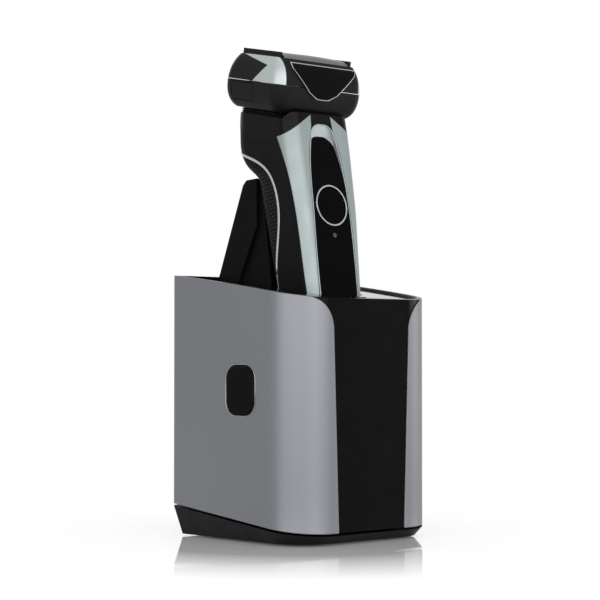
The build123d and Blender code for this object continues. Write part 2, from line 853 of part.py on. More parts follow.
def trimmer_outline(grow, brow):
    """Trimmer in side view, round at its hinge; brow is how high its outer edge reaches."""
    turn = trimmer_round + grow
    low = trimmer_low - grow
    with BuildPart(mode=Mode.PRIVATE) as outline:
        with BuildSketch(handle_side):
            with BuildLine():
                Line((trimmer_pin_y - turn, low), (trimmer_pin_y - turn, trimmer_pin_h))
                ThreePointArc(
                    (trimmer_pin_y - turn, trimmer_pin_h),
                    (trimmer_pin_y, trimmer_pin_h + turn),
                    (trimmer_pin_y + turn, trimmer_pin_h),
                )
                Polyline(
                    (trimmer_pin_y + turn, trimmer_pin_h),
                    (handle_reach, trimmer_pin_h),
                    (handle_reach, low),
                    (trimmer_pin_y - turn, low),
                )
            make_face()
            with Locations((trimmer_pin_y + handle_reach / 2, trimmer_pin_h + brow / 2)):
                Rectangle(handle_reach, abs(brow))
        extrude(amount=trimmer_half + grow, both=True)
    return outline.part


trimmer_space = trimmer_outline(play, trimmer_round + play)
trimmer_form = trimmer_outline(0, -trimmer_round)
pin_reach = trimmer_half + 4
with BuildPart() as trimmer_pin:
    with BuildSketch(handle_side.offset(-pin_reach)):
        with Locations((trimmer_pin_y, trimmer_pin_h)):
            Circle(trimmer_pin_radius)
    extrude(amount=2 * pin_reach)

# Silver bands on the front corners
with BuildPart(mode=Mode.PRIVATE) as band_form:
    add(handle_outer)
    add(band_flank, mode=Mode.INTERSECT)
    add(band_face, mode=Mode.INTERSECT)
    add(collar_region, mode=Mode.SUBTRACT)
    add(above_foot, mode=Mode.INTERSECT)
with BuildPart() as left_band:
    add(band_form.part)
    add(handle_under, mode=Mode.SUBTRACT)
with BuildPart() as right_band:
    mirror(left_band.part, about=Plane.YZ)

# Gloss inlay with bores for the button, its ring and the lamp; its top sinks behind the arch frame
inlay_scoop = scoop(0)
arch_scoop_face = arch_outline(-leg_width)
with BuildPart(mode=Mode.PRIVATE) as inlay_bed:
    add(handle_under)
    add(scoop(skin), mode=Mode.SUBTRACT)
with BuildPart(mode=Mode.PRIVATE) as inlay_pocket:
    add(handle_pocket)
    add(scoop(skin + skin_gap), mode=Mode.SUBTRACT)
with BuildPart(mode=Mode.PRIVATE) as arch_scoop:
    add(inlay_scoop)
    extrude(arch_scoop_face, amount=handle_reach, mode=Mode.INTERSECT)
with BuildPart() as front_inlay:
    add(handle_outer)
    extrude(inlay_face, amount=handle_reach, mode=Mode.INTERSECT)
    add(inlay_bed.part, mode=Mode.SUBTRACT)
    add(inlay_scoop, mode=Mode.SUBTRACT)
    with BuildSketch(handle_face):
        with Locations((0, ring_height)):
            Circle(ring_radius + 0.05)
        with Locations((0, lamp_height)):
            Circle(lamp_radius + 0.05)
    extrude(amount=handle_reach, mode=Mode.SUBTRACT)

with BuildPart() as arch_frame:
    add(handle_outer)
    extrude(arch_face, amount=handle_reach, mode=Mode.INTERSECT)
    extrude(arch_hole, amount=handle_reach, mode=Mode.SUBTRACT)
    add(inlay_bed.part, mode=Mode.SUBTRACT)
    add(arch_scoop.part, mode=Mode.SUBTRACT)

# Chrome line along the edge of the grip, a bead on the surface
with BuildPart() as grip_line:
    add(handle_bead)
    add(line_cut.part, mode=Mode.INTERSECT)
    add(handle_outer, mode=Mode.SUBTRACT)
    add(cap_space, mode=Mode.SUBTRACT)
    add(trimmer_space, mode=Mode.SUBTRACT)

# Charge plates let into the back of the grip
plate_half = 2.6
plate_spaces = [
    block(
        handle,
        (side * contact_x - plate_half, side * contact_x + plate_half),
        (0, handle_reach),
        (contact_low - 1, contact_high + 1),
    )
    for side in (-1, 1)
]
with BuildPart() as charge_plates:
    for space in plate_spaces:
        add(space)
    add(handle_outer, mode=Mode.INTERSECT)
    add(handle_under, mode=Mode.SUBTRACT)

with BuildPart() as rear_grip:
    add(handle_outer)
    add(rear_region, mode=Mode.INTERSECT)
    add(handle_under, mode=Mode.SUBTRACT)
    add(cap_space, mode=Mode.SUBTRACT)
    add(trimmer_space, mode=Mode.SUBTRACT)
    for space in plate_spaces:
        add(space, mode=Mode.SUBTRACT)

# Inner space of the handle
with BuildPart(mode=Mode.PRIVATE) as handle_space:
    add(cavity)

with BuildPart() as rear_shell:
    add(handle_pocket)
    add(rear_region, mode=Mode.INTERSECT)
    add(cap_space, mode=Mode.SUBTRACT)
    add(handle_space.part, mode=Mode.SUBTRACT)
    add(trimmer_space, mode=Mode.SUBTRACT)

# Front shell with pockets for bands, frame and inlay, and the button's bore
with BuildPart(mode=Mode.PRIVATE) as skin_pockets:
    add(band_form.part)
    mirror(band_form.part, about=Plane.YZ)
    add(handle_pocket, mode=Mode.SUBTRACT)
with BuildPart(mode=Mode.PRIVATE) as inlay_space:
    add(handle_outer)
    extrude(arch_pocket, amount=handle_reach, mode=Mode.INTERSECT)
    add(inlay_pocket.part, mode=Mode.SUBTRACT)
with BuildPart() as front_shell:
    add(handle_outer)
    add(rear_region, mode=Mode.SUBTRACT)
    add(collar_region, mode=Mode.SUBTRACT)
    add(above_handle, mode=Mode.SUBTRACT)
    add(cap_space, mode=Mode.SUBTRACT)
    add(handle_space.part, mode=Mode.SUBTRACT)
    add(skin_pockets.part, mode=Mode.SUBTRACT)
    add(inlay_space.part, mode=Mode.SUBTRACT)
    add(trimmer_space, mode=Mode.SUBTRACT)
    add(trimmer_pin.part, mode=Mode.SUBTRACT)
    with BuildSketch(handle_face):
        with Locations((0, ring_height)):
            Circle(ring_radius - ring_width)
    extrude(amount=handle_reach, mode=Mode.SUBTRACT)

# Collar under the head
pivot_axis = Axis(head.offset(pivot_height).origin, head_face.z_dir)
with BuildPart() as neck_collar:
    add(handle_outer)
    add(collar_region, mode=Mode.INTERSECT)
    add(above_handle, mode=Mode.SUBTRACT)
    add(trimmer_space, mode=Mode.SUBTRACT)
    for turn in (-rock_room, rock_room):
        add(head_outer.rotate(pivot_axis, turn), mode=Mode.SUBTRACT)

# Bottom cap with the charge inlet
with BuildPart() as bottom_cap:
    add(handle_outer)
    add(cap_space, mode=Mode.INTERSECT)
    with BuildSketch(handle):
        Rectangle(12, 7)
    extrude(amount=3.5, mode=Mode.SUBTRACT)
    with BuildSketch(handle.offset(3.5)):
        with GridLocations(5, 0, 2, 1):
            Rectangle(1.4, 1.4)
    extrude(amount=-2.5)

with BuildPart() as button_ring:
    with BuildSketch(handle_face.offset(ring_front - skin + 0.2)):
        with Locations((0, ring_height)):
            Circle(ring_radius)
            Circle(ring_radius - ring_width, mode=Mode.SUBTRACT)
    extrude(amount=skin - 0.2 + ring_proud)

button_face_radius = ring_radius - ring_width - fit
with BuildPart() as power_button:
    with BuildSketch(handle_face.offset(ring_front - 7.5)):
        with Locations((0, ring_height)):
            Circle(button_face_radius)
    extrude(amount=7.7)
    chamfer(power_button.faces().sort_by(Axis.Y)[0].edges(), 0.6)

with BuildPart() as indicator_lamp:
    with BuildSketch(handle_face.offset(ring_front - skin)):
        with Locations((0, lamp_height)):
            Circle(lamp_radius)
    extrude(amount=skin)

# Inner frame with battery, circuit board and linear motor
frame_half = 17.0
frame_front = -3.2
frame_thickness = 1.8
frame_top = 68.0
battery_radius = 7.0
battery_low = 11.0
battery_high = 60.0
card_half = 13.0
card_front = -11.0
card_thickness = 1.6
motor_half = 15.0
motor_deep = 9.0
motor_high = 96.0
frame_back = frame_front + frame_thickness
with BuildPart() as inner_frame:
    add(block(handle, (-frame_half, frame_half), (frame_front, frame_back), (cap_height, frame_top)))
    with BuildSketch(handle_face.offset(-frame_front)):
        with Locations((0, (12 + 60) / 2)):
            with GridLocations(2 * card_half - 5, 44, 2, 2):
                Rectangle(3, 3)
    extrude(amount=frame_front - card_front - card_thickness)

with BuildPart() as battery:
    with BuildSketch(handle.offset(battery_low)):
        with Locations((0, frame_back + 0.2 + battery_radius)):
            Circle(battery_radius)
    extrude(amount=battery_high - battery_low)

with BuildPart() as shaver_circuit_board:
    add(block(handle, (-card_half, card_half), (card_front, card_front + card_thickness), (12, 63)))

with BuildPart() as drive_motor:
    add(block(handle, (-motor_half, motor_half), (-motor_deep, motor_deep), (frame_top, motor_high - 4)))
    with BuildSketch(handle.offset(motor_high - 4)):
        with GridLocations(12, 0, 2, 1):
            Rectangle(4, 4)
    extrude(amount=4)

# Trimmer: housing, toothed comb and the blade behind it
comb_half = 13.0
comb_y = 25.4
tooth_pitch = 2.0
with BuildPart() as trimmer_housing:
    add(handle_outer)
    add(trimmer_form, mode=Mode.INTERSECT)
    add(block(
        handle,
        (-comb_half - fit, comb_half + fit),
        (comb_y - comb_thickness - 2 * fit, comb_y + comb_thickness + fit),
        (0, trimmer_low + 9),
    ), mode=Mode.SUBTRACT)
    add(block(
        handle,
        (-handle_reach, handle_reach),
        (0, comb_y - comb_thickness - 2 * fit),
        (0, trimmer_low + 3),
    ), mode=Mode.SUBTRACT)
    with BuildSketch(handle_side.offset(-pin_reach)):
        with Locations((trimmer_pin_y, trimmer_pin_h)):
            Circle(trimmer_pin_radius + pivot_fit)
    extrude(amount=2 * pin_reach, mode=Mode.SUBTRACT)

with BuildPart() as trimmer_comb:
    comb_depth = (comb_y, comb_y + comb_thickness)
    add(block(handle, (-comb_half, comb_half), comb_depth, (comb_low, trimmer_low + 8.9)))
    with BuildSketch(handle_face.offset(-comb_y - comb_thickness - 1)):
        with Locations((0, comb_low)):
            with GridLocations(tooth_pitch, 0, 12, 1):
                Rectangle(tooth_pitch / 2, 5)
    extrude(amount=comb_thickness + 2, mode=Mode.SUBTRACT)

with BuildPart() as trimmer_blade:
    add(block(
        handle,
        (-comb_half + 1.6, comb_half - 1.6),
        (comb_y - comb_thickness - fit, comb_y - fit),
        (comb_low + 0.4, trimmer_low + 8.6),
    ))
    with BuildSketch(handle_face.offset(-comb_y - 1)):
        with Locations((0, comb_low + 0.4)):
            with GridLocations(tooth_pitch, 0, 10, 1):
                Rectangle(tooth_pitch / 2, 4)
    extrude(amount=comb_thickness + 3, mode=Mode.SUBTRACT)


# Neck: pivot post on the collar, its pin and the boot round them
post_half = 4.5
post_deep = 6.0
boss_depth = 6.0
boss_gap = 0.4
pivot_flank = head_face.offset(-post_deep)
with BuildPart() as pivot_pin:
    pin_deep = post_deep + boss_gap + boss_depth
    with BuildSketch(head_face.offset(-pin_deep)):
        with Locations((0, pivot_height)):
            Circle(pivot_radius)
    extrude(amount=2 * pin_deep)

with BuildPart() as pivot_post:
    with BuildSketch(pivot_flank):
        with Locations((0, (pivot_height - neck_gap) / 2)):
            Rectangle(2 * post_half, pivot_height + neck_gap)
        with Locations((0, pivot_height)):
            Circle(post_half)
            Circle(pivot_radius, mode=Mode.SUBTRACT)
    extrude(amount=2 * post_deep)

with BuildPart() as neck_boot:
    for drop, swell in ((neck_gap, 0), (neck_gap / 2, 1), (fit, 0)):
        with BuildSketch(head.offset(-drop)):
            with Locations((0, boot_shift)):
                RectangleRounded(2 * (boot_half + swell), 2 * (boot_deep + swell), head_radius + swell)
    loft(ruled=True)
    with BuildSketch(head.offset(-neck_gap)):
        with Locations((0, boot_shift)):
            RectangleRounded(
                2 * (boot_half - boot_wall), 2 * (boot_deep - boot_wall), head_radius - boot_wall
            )
    extrude(amount=neck_gap, mode=Mode.SUBTRACT)

# Head base: bowl with pivot bosses, guide posts and wells for the foil buttons
base_floor = 3.0
foil_button_low = 4.6
foil_button_high = 14.6
foil_button_back = 17.0
foil_button_front = -2.0
foil_button_inner = 30.0
foil_button_travel = 1.2
guide_x = 21.0
guide_y = 12.0
guide_radius = 2.5
carrier_low = head_split + 0.5
carrier_thickness = 2.0
window_top = 29.6
window_back = 21.0  # flat back of the window, so that it lifts straight up
window_raise = 0.6
trim_raise = 0.9
trim_width = 0.5
foil_button_space = block(
    head_flank,
    (foil_button_front - play, foil_button_back + play),
    (foil_button_low - play, foil_button_high + play),
    (foil_button_inner - foil_button_travel - play, handle_reach),
)
foil_button_form = block(
    head_flank,
    (foil_button_front, foil_button_back),
    (foil_button_low, foil_button_high),
    (foil_button_inner, handle_reach),
)
foil_button_well = block(
    head_flank,
    (foil_button_front - play - 2, foil_button_back + play + 2),
    (0, head_split - 0.2),
    (foil_button_inner - foil_button_travel - play - 2, handle_reach),
)
below_split = block(head, (-handle_reach, handle_reach), (-handle_reach, handle_reach), (0, head_split))
above_split = block(
    head, (-handle_reach, handle_reach), (-handle_reach, handle_reach), (head_split + fit, head_height)
)
base_space = block(
    head, (-handle_reach, handle_reach), (-handle_reach, handle_reach), (base_floor, head_split)
)


def window_outline(grow):
    """Front window of the head: wide at the top, slanting sides and a short lower edge."""
    with BuildSketch(head_face, mode=Mode.PRIVATE) as outline:
        with BuildLine():
            Polyline(
                (0, window_top + grow),
                (25.6 + grow, window_top + grow),
                (24.8 + grow, 26.8),
                (10.6 + grow, 13.6 - 0.4 * grow),
                (4.6 + 0.3 * grow, 10.6 - grow),
                (0, 10.4 - grow),
            )
            mirror(about=Plane.YZ)
        make_face()
    return outline.sketch


def before_back(depth):
    """Everything in front of an upright plane in the head."""
    reach = (-handle_reach, handle_reach)
    return block(head, reach, (-handle_reach, -depth), (0, handle_reach))


window_face = window_outline(0)
trim_inner_face = window_outline(0.1)
trim_outer_face = window_outline(0.1 + trim_width)
window_pocket = window_outline(0.1 + trim_width + fit)
with BuildPart(mode=Mode.PRIVATE) as window_space:
    add(before_back(window_back - 0.1))
    extrude(window_pocket, amount=handle_reach, mode=Mode.INTERSECT)

front_wall = 1.8  # behind the window
with BuildPart(mode=Mode.PRIVATE) as base_cavity:
    add(head_inner)
    add(base_space, mode=Mode.INTERSECT)
    add(before_back(window_back - front_wall), mode=Mode.SUBTRACT)
    add(foil_button_well, mode=Mode.SUBTRACT)
    mirror(foil_button_well, about=Plane.YZ, mode=Mode.SUBTRACT)
with BuildPart() as head_base:
    add(head_outer)
    add(below_split, mode=Mode.INTERSECT)
    add(base_cavity.part, mode=Mode.SUBTRACT)
    with BuildSketch(head.offset(base_floor)):
        with GridLocations(2 * guide_x, 2 * guide_y, 2, 2):
            Rectangle(2 * guide_radius, 2 * guide_radius)
    extrude(amount=carrier_low - fit - base_floor)
    with BuildSketch(head_face):
        with Locations((0, (base_floor + pivot_height) / 2)):
            Rectangle(2 * post_half, pivot_height - base_floor)
        with Locations((0, pivot_height)):
            Circle(post_half)
    extrude(amount=pin_deep + 0.5, both=True)
    with BuildSketch(head):
        Rectangle(2 * post_half + 5, 2 * (post_deep + boss_gap))
    extrude(amount=head_split, mode=Mode.SUBTRACT)
    with BuildSketch(head_face):
        with Locations((0, pivot_height)):
            Circle(pivot_radius + pivot_fit)
    extrude(amount=pin_deep + 0.1, both=True, mode=Mode.SUBTRACT)
    add(foil_button_space, mode=Mode.SUBTRACT)
    mirror(foil_button_space, about=Plane.YZ, mode=Mode.SUBTRACT)
    add(window_space.part, mode=Mode.SUBTRACT)

with BuildPart() as right_foil_button:
    add(head_outer)
    add(foil_button_form, mode=Mode.INTERSECT)
with BuildPart() as left_foil_button:
    mirror(right_foil_button.part, about=Plane.YZ)

# Foil frame that lifts off the head, with cheeks, window and bright trim
frame_roof = 2.5
foil_window_half = foil_half + 0.5
rail_width = 3.0  # raised rails at the ends of the foils
rail_half = 16.0
rail_top = foil_top - 0.2
foil_window_deep = foil_pitch + foil_radius + 0.6
cheek_points = ((-30, 33), (19, 33), (-11, 26.6), (-1, head_split + fit), (-30, head_split + fit))
cheek_side = side_region(cheek_points, head_flank, handle_reach)
cheek_x = block(head, (29.4, handle_reach), (-handle_reach, handle_reach), (0, head_height))
with BuildPart(mode=Mode.PRIVATE) as cheek_form:
    add(head_outer)
    add(cheek_side, mode=Mode.INTERSECT)
    add(cheek_x, mode=Mode.INTERSECT)
    add(above_split, mode=Mode.INTERSECT)
with BuildPart() as right_cheek:
    add(cheek_form.part)
    add(head_under, mode=Mode.SUBTRACT)
with BuildPart() as left_cheek:
    mirror(right_cheek.part, about=Plane.YZ)

with BuildPart(mode=Mode.PRIVATE) as cheek_space:
    add(cheek_form.part)
    add(head_pocket, mode=Mode.SUBTRACT)
with BuildPart() as foil_frame:
    add(head_outer)
    add(above_split, mode=Mode.INTERSECT)
    with BuildSketch(head.offset(head_split)):
        RectangleRounded(2 * foil_window_half + 4, 2 * foil_window_deep + 1, 3)
    extrude(amount=head_height - frame_roof - head_split, mode=Mode.SUBTRACT)
    with BuildSketch(head.offset(head_split)):
        RectangleRounded(2 * foil_window_half, 2 * foil_window_deep, 2)
    extrude(amount=head_height, mode=Mode.SUBTRACT)
    for side in (-1, 1):
        rail = (side * foil_window_half, side * (foil_window_half + rail_width))
        add(block(head, (min(rail), max(rail)), (-rail_half, rail_half), (head_height - 1, rail_top)))
    add(window_space.part, mode=Mode.SUBTRACT)
    add(cheek_space.part, mode=Mode.SUBTRACT)
    mirror(cheek_space.part, about=Plane.YZ, mode=Mode.SUBTRACT)

with BuildPart() as front_window:
    add(head_body(-window_raise))
    extrude(window_face, amount=handle_reach, mode=Mode.INTERSECT)
    add(before_back(window_back), mode=Mode.INTERSECT)

# Bright trim: a thin upright frame round the window
with BuildPart() as front_trim:
    add(head_body(-trim_raise))
    extrude(trim_outer_face, amount=handle_reach, mode=Mode.INTERSECT)
    extrude(trim_inner_face, amount=handle_reach, mode=Mode.SUBTRACT)
    add(before_back(window_back), mode=Mode.INTERSECT)

# Arched foils, curved from end to end
bow_z = foil_top - foil_bow
bow_point = head.from_local_coords((0, 0, bow_z))
bow_angle = degrees(atan(foil_half / foil_bow))
across = Vector(0, tilt_cos, tilt_sin)
upward = Vector(0, -tilt_sin, tilt_cos)
bow_axis = Axis(bow_point, across)
radial = upward * cos(radians(bow_angle)) - Vector(1, 0, 0) * sin(radians(bow_angle))
foil_plane = Plane(origin=bow_point, x_dir=across, z_dir=across.cross(radial))
foil_leg = 4.0


def foil_section(middle):
    """Arch of one foil with straight legs, at a distance from the foils' bowing axis."""
    centre = foil_bow - foil_radius
    inner = foil_radius - foil_thickness
    with BuildSketch(foil_plane, mode=Mode.PRIVATE) as arch:
        with Locations((middle, centre)):
            Circle(foil_radius)
            Circle(inner, mode=Mode.SUBTRACT)
            with Locations((0, -foil_radius)):
                Rectangle(2 * foil_radius, 2 * foil_radius, mode=Mode.SUBTRACT)
        for side in (-1, 1):
            with Locations((middle + side * (foil_radius - foil_thickness / 2), centre - foil_leg / 2)):
                Rectangle(foil_thickness, foil_leg)
    return arch.sketch


side_arches = [foil_section(-foil_pitch), foil_section(foil_pitch)]
centre_arch = foil_section(0)
with BuildPart() as side_foils:
    for arch in side_arches:
        revolve(arch, axis=bow_axis, revolution_arc=2 * bow_angle)
with BuildPart() as centre_foil:
    revolve(centre_arch, axis=bow_axis, revolution_arc=2 * bow_angle)

# Inner blades: rows of round-topped fins on a bar, all on one carrier
bar_low = carrier_low + carrier_thickness
bar_high = 24.0
bar_half = 3.4
bar_reach = blade_pitch * (blade_count - 1) / 2 + 1.5
fin_radius = foil_radius - foil_thickness - blade_gap
fin_bow = foil_bow - foil_thickness - blade_gap


def blade_row(middle):
    """One blade: a bar with fins whose crowns follow the foil's curve."""
    with BuildPart(mode=Mode.PRIVATE) as row:
        with BuildSketch(head.offset(bar_low)):
            with Locations((0, middle)):
                Rectangle(2 * bar_reach, 2 * bar_half)
        extrude(amount=bar_high - bar_low)
        for index in range(blade_count):
            x = (index - (blade_count - 1) / 2) * blade_pitch
            crown = bow_z + (fin_bow ** 2 - x ** 2) ** 0.5 - fin_radius
            with BuildSketch(head_flank.offset(x - blade_thickness / 2)):
                with Locations((middle, crown)):
                    RegularPolygon(fin_radius, fin_sides)
                with Locations((middle, (crown + bar_high) / 2)):
                    Rectangle(2 * bar_half, crown - bar_high)
            extrude(amount=blade_thickness)
    return row.part


blade_rows = [blade_row(-foil_pitch), blade_row(foil_pitch)]
centre_row = blade_row(0)
with BuildPart() as side_blades:
    for row in blade_rows:
        add(row)
with BuildPart() as centre_blade:
    add(centre_row)

carrier_deep = foil_pitch + bar_half
with BuildPart() as blade_carrier:
    with BuildSketch(head.offset(carrier_low)):
        RectangleRounded(2 * bar_reach - 1, 2 * carrier_deep, 2)
    extrude(amount=carrier_thickness)
    with BuildSketch(head.offset(carrier_low)):
        with GridLocations(2 * (post_half + 6), 0, 2, 1):
            Rectangle(3, 3)
    extrude(amount=-(carrier_low - base_floor - 2))

pieces = {
    "cleaning_tray": cleaning_tray,
    "tray_feet": tray_feet,
    "left_side_panel": left_side_panel,
    "right_side_panel": right_side_panel,
    "front_panel": front_panel,
    "rear_panel": rear_panel,
    "power_inlet": power_inlet,
    "top_deck": top_deck,
    "cradle": cradle,
    "dock_chassis": dock_chassis,
    "charging_column": charging_column,
    "column_contacts": column_contacts,
    "transformer": transformer,
    "pump_housing": pump_housing,
    "pump_motor": pump_motor,
    "dock_circuit_board": dock_circuit_board,
    "left_release_button": left_release_button,
    "right_release_button": right_release_button,
    "left_button_spring": left_button_spring,
    "right_button_spring": right_button_spring,
    "start_button": start_button,
    "bottom_cap": bottom_cap,
    "front_shell": front_shell,
    "rear_shell": rear_shell,
    "neck_collar": neck_collar,
    "rear_grip": rear_grip,
    "grip_line": grip_line,
    "left_band": left_band,
    "right_band": right_band,
    "arch_frame": arch_frame,
    "front_inlay": front_inlay,
    "button_ring": button_ring,
    "power_button": power_button,
    "indicator_lamp": indicator_lamp,
    "charge_plates": charge_plates,
    "inner_frame": inner_frame,
    "battery": battery,
    "shaver_circuit_board": shaver_circuit_board,
    "drive_motor": drive_motor,
    "trimmer_housing": trimmer_housing,
    "trimmer_comb": trimmer_comb,
    "trimmer_blade": trimmer_blade,
    "trimmer_pin": trimmer_pin,
    "pivot_post": pivot_post,
    "pivot_pin": pivot_pin,
    "neck_boot": neck_boot,
    "head_base": head_base,
    "left_foil_button": left_foil_button,
    "right_foil_button": right_foil_button,
    "foil_frame": foil_frame,
    "left_cheek": left_cheek,
    "right_cheek": right_cheek,
    "front_window": front_window,
    "front_trim": front_trim,
    "side_foils": side_foils,
    "centre_foil": centre_foil,
    "blade_carrier": blade_carrier,
    "side_blades": side_blades,
    "centre_blade": centre_blade,
}
for name, piece in pieces.items():
    piece.part.label = name
    export_step(piece.part, f"parts/{name}.step")
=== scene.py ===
"""Looks of a foil shaver standing in its charging and cleaning dock, laid out as an add-on."""
import json
import math

import bmesh
import bpy
from bpy.props import FloatProperty, FloatVectorProperty, IntProperty, PointerProperty
from mathutils import Matrix, Vector
from mathutils.bvhtree import BVHTree

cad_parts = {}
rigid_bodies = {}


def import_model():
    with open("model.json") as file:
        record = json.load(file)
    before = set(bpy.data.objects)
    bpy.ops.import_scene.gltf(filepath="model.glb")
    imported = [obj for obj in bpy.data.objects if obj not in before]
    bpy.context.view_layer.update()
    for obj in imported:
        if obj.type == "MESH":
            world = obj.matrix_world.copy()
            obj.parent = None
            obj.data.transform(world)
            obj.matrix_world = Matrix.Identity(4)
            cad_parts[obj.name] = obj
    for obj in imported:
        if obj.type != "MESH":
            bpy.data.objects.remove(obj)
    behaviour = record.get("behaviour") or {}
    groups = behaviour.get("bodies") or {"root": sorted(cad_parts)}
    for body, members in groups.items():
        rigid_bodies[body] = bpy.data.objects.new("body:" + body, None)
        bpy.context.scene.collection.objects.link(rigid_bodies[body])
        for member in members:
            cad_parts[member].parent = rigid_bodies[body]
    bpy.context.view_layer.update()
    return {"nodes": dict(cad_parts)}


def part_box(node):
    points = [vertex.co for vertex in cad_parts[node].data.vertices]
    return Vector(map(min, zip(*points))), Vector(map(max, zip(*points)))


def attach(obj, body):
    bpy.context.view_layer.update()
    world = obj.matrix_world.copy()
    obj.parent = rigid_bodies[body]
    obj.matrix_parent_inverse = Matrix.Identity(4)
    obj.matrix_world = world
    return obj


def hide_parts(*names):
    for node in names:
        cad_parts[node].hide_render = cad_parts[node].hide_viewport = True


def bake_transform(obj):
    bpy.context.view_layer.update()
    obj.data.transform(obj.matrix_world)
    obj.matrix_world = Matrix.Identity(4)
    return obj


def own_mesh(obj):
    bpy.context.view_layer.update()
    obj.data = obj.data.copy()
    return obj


for left_over in list(bpy.data.objects):
    bpy.data.objects.remove(left_over)
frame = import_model()

bl_info = {
    "name": "Foil shaver and dock",
    "version": (1, 0, 0),
    "blender": (4, 5, 0),
    "location": "View3D > Sidebar > Shaver",
    "description": "Finishes and fine pieces of a foil shaver in its dock, with a plain studio",
    "category": "Object",
}

# The handle leans back in the dock, and the head tilts forward on the handle
handle_lean = math.radians(10)
handle_foot = (0, -0.014, 0.128)
head_tilt = math.radians(11)
head_seat = (0, 0.0133, 0.255)
handle_frame = Matrix.Translation(handle_foot) @ Matrix.Rotation(-handle_lean, 4, "X")
head_frame = Matrix.Translation(head_seat) @ Matrix.Rotation(head_tilt, 4, "X")

weld = 0.000001  # corners of a mesh that are closer than this become one


def colour(name, description, value):
    return FloatVectorProperty(
        name=name, description=description, subtype="COLOR", size=3, min=0, max=1, default=value
    )


def length(name, description, value):
    return FloatProperty(name=name, description=description, unit="LENGTH", precision=5, default=value)


def wattage(name, description, value):
    return FloatProperty(name=name, description=description, unit="POWER", min=0, default=value)


class FinishSettings(bpy.types.PropertyGroup):
    """Colours of the shaver's and the dock's finishes"""

    panel_silver: colour("Panel silver", "Satin metallic paint of the dock's flanks", (0.163, 0.168, 0.182))
    band_silver: colour("Band silver", "Metallic lacquer of the handle's bands", (0.205, 0.235, 0.235))
    pale_silver: colour("Pale silver", "Lighter lacquer of the arch and cheeks", (0.31, 0.345, 0.345))
    plating: colour("Plating", "Bright plated trims", (0.42, 0.43, 0.44))
    # Rim silver is partly a painted highlight: the bright rim stands in for the light edge of each button's
    # bevel
    rim_highlight_silver: colour("Rim silver", "Duller plating of the release button rims", (0.27, 0.275, 0.285))
    gloss_black: colour("Gloss black", "Polished black mouldings", (0.0012, 0.0012, 0.0015))
    satin_black: colour("Satin black", "Fine grained black mouldings", (0.0022, 0.0022, 0.0026))
    rubber_black: colour("Rubber black", "Soft grip and feet", (0.0028, 0.0028, 0.0032))
    # The tab's lighter grey is partly a painted sheen, standing in for a soft reflection on the tab
    tab_sheen_grey: colour("Tab grey", "Thumb tab of the trimmer", (0.022, 0.022, 0.025))
    steel: colour("Steel", "Blades, pins and springs", (0.52, 0.52, 0.53))
    # Foil grey is darkened partly as painted shade: the shade inside the fine holes, spread over the whole
    # foil
    foil_grey_and_hole_shade: colour("Foil grey", "Perforated foils, dark between their holes", (0.2, 0.2, 0.21))
    lamp_clear: colour("Lamp clear", "Frosted lens of the indicator lamp", (0.03, 0.033, 0.03))
    inner_grey: colour("Inner grey", "Plain mouldings inside dock and handle", (0.15, 0.15, 0.16))
    board_green: colour("Board green", "Solder mask of the circuit boards", (0.03, 0.13, 0.06))
    core_iron: colour("Core iron", "Sheets of the transformer's core", (0.2, 0.2, 0.21))
    motor_steel: colour("Motor steel", "Drawn cans of the motors", (0.5, 0.5, 0.52))
    contact_gold: colour("Contact gold", "Charge contacts and plates", (0.72, 0.6, 0.36))
    cell_blue: colour("Cell blue", "Sleeve of the battery", (0.14, 0.2, 0.32))


class GripSettings(bpy.types.PropertyGroup):
    """Raised dots on the rubber grip"""

    dot_pitch: length("Dot pitch", "Distance between the grip's dots", 0.0026)
    dot_radius: length("Dot radius", "Radius of one dot", 0.0007)
    dot_height: length("Dot height", "How far a dot stands proud of the rubber", 0.00035)


class RimSettings(bpy.types.PropertyGroup):
    """Plated rim round each release button, partly a painted highlight on the button's edge"""

    width: length("Width", "Release button across, from front to back", 0.0244)
    height: length("Height", "Release button from top to bottom", 0.0284)
    radius: length("Radius", "Corner radius of the release button", 0.008)
    play: length("Play", "Gap between button and rim", 0.0004)
    lip: length("Lip", "Width of the rim", 0.0006)
    proud: length("Proud", "How far the rim stands off the panel", 0.0003)


class SoftSettings(bpy.types.PropertyGroup):
    """Folded neck boot and the release buttons' travel"""

    boot_width: length("Boot width", "Half of the neck boot from side to side", 0.024)
    boot_depth: length("Boot depth", "Half of the neck boot from front to back", 0.019)
    boot_radius: length("Boot radius", "Corner radius of the neck boot", 0.008)
    boot_shift: length("Boot shift", "How far the boot sits behind the head's middle", 0.002)
    boot_wall: length("Boot wall", "Thickness of the boot's wall", 0.0025)
    boot_low: length("Boot low", "Boot's lower edge under the head", -0.0032)
    boot_high: length("Boot high", "Boot's upper edge under the head", -0.0003)
    fold_depth: length("Fold depth", "How far a fold of the boot swells", 0.0009)
    folds: IntProperty(name="Folds", description="Folds of the boot", min=1, default=2)
    press: length("Press", "Travel of a release button, taken up by its spring", 0.0025)


class StageSettings(bpy.types.PropertyGroup):
    """Floor, lights, sky and lens"""

    floor_colour: colour("Floor", "Pale floor under the dock", (0.86, 0.86, 0.86))
    key_power: wattage("Key light", "Wide light on the left", 24.0)
    front_power: wattage("Front light", "Light in front", 8.0)
    fill_power: wattage("Fill light", "Low light on the right", 2.5)
    top_power: wattage("Top light", "Overhead light", 4.0)
    sky: FloatProperty(
        name="Sky", description="Strength of the even light from all round", min=0, default=0.85
    )
    lens: FloatProperty(
        name="Lens", description="Focal length in millimetres", unit="CAMERA", min=1, default=114.0
    )


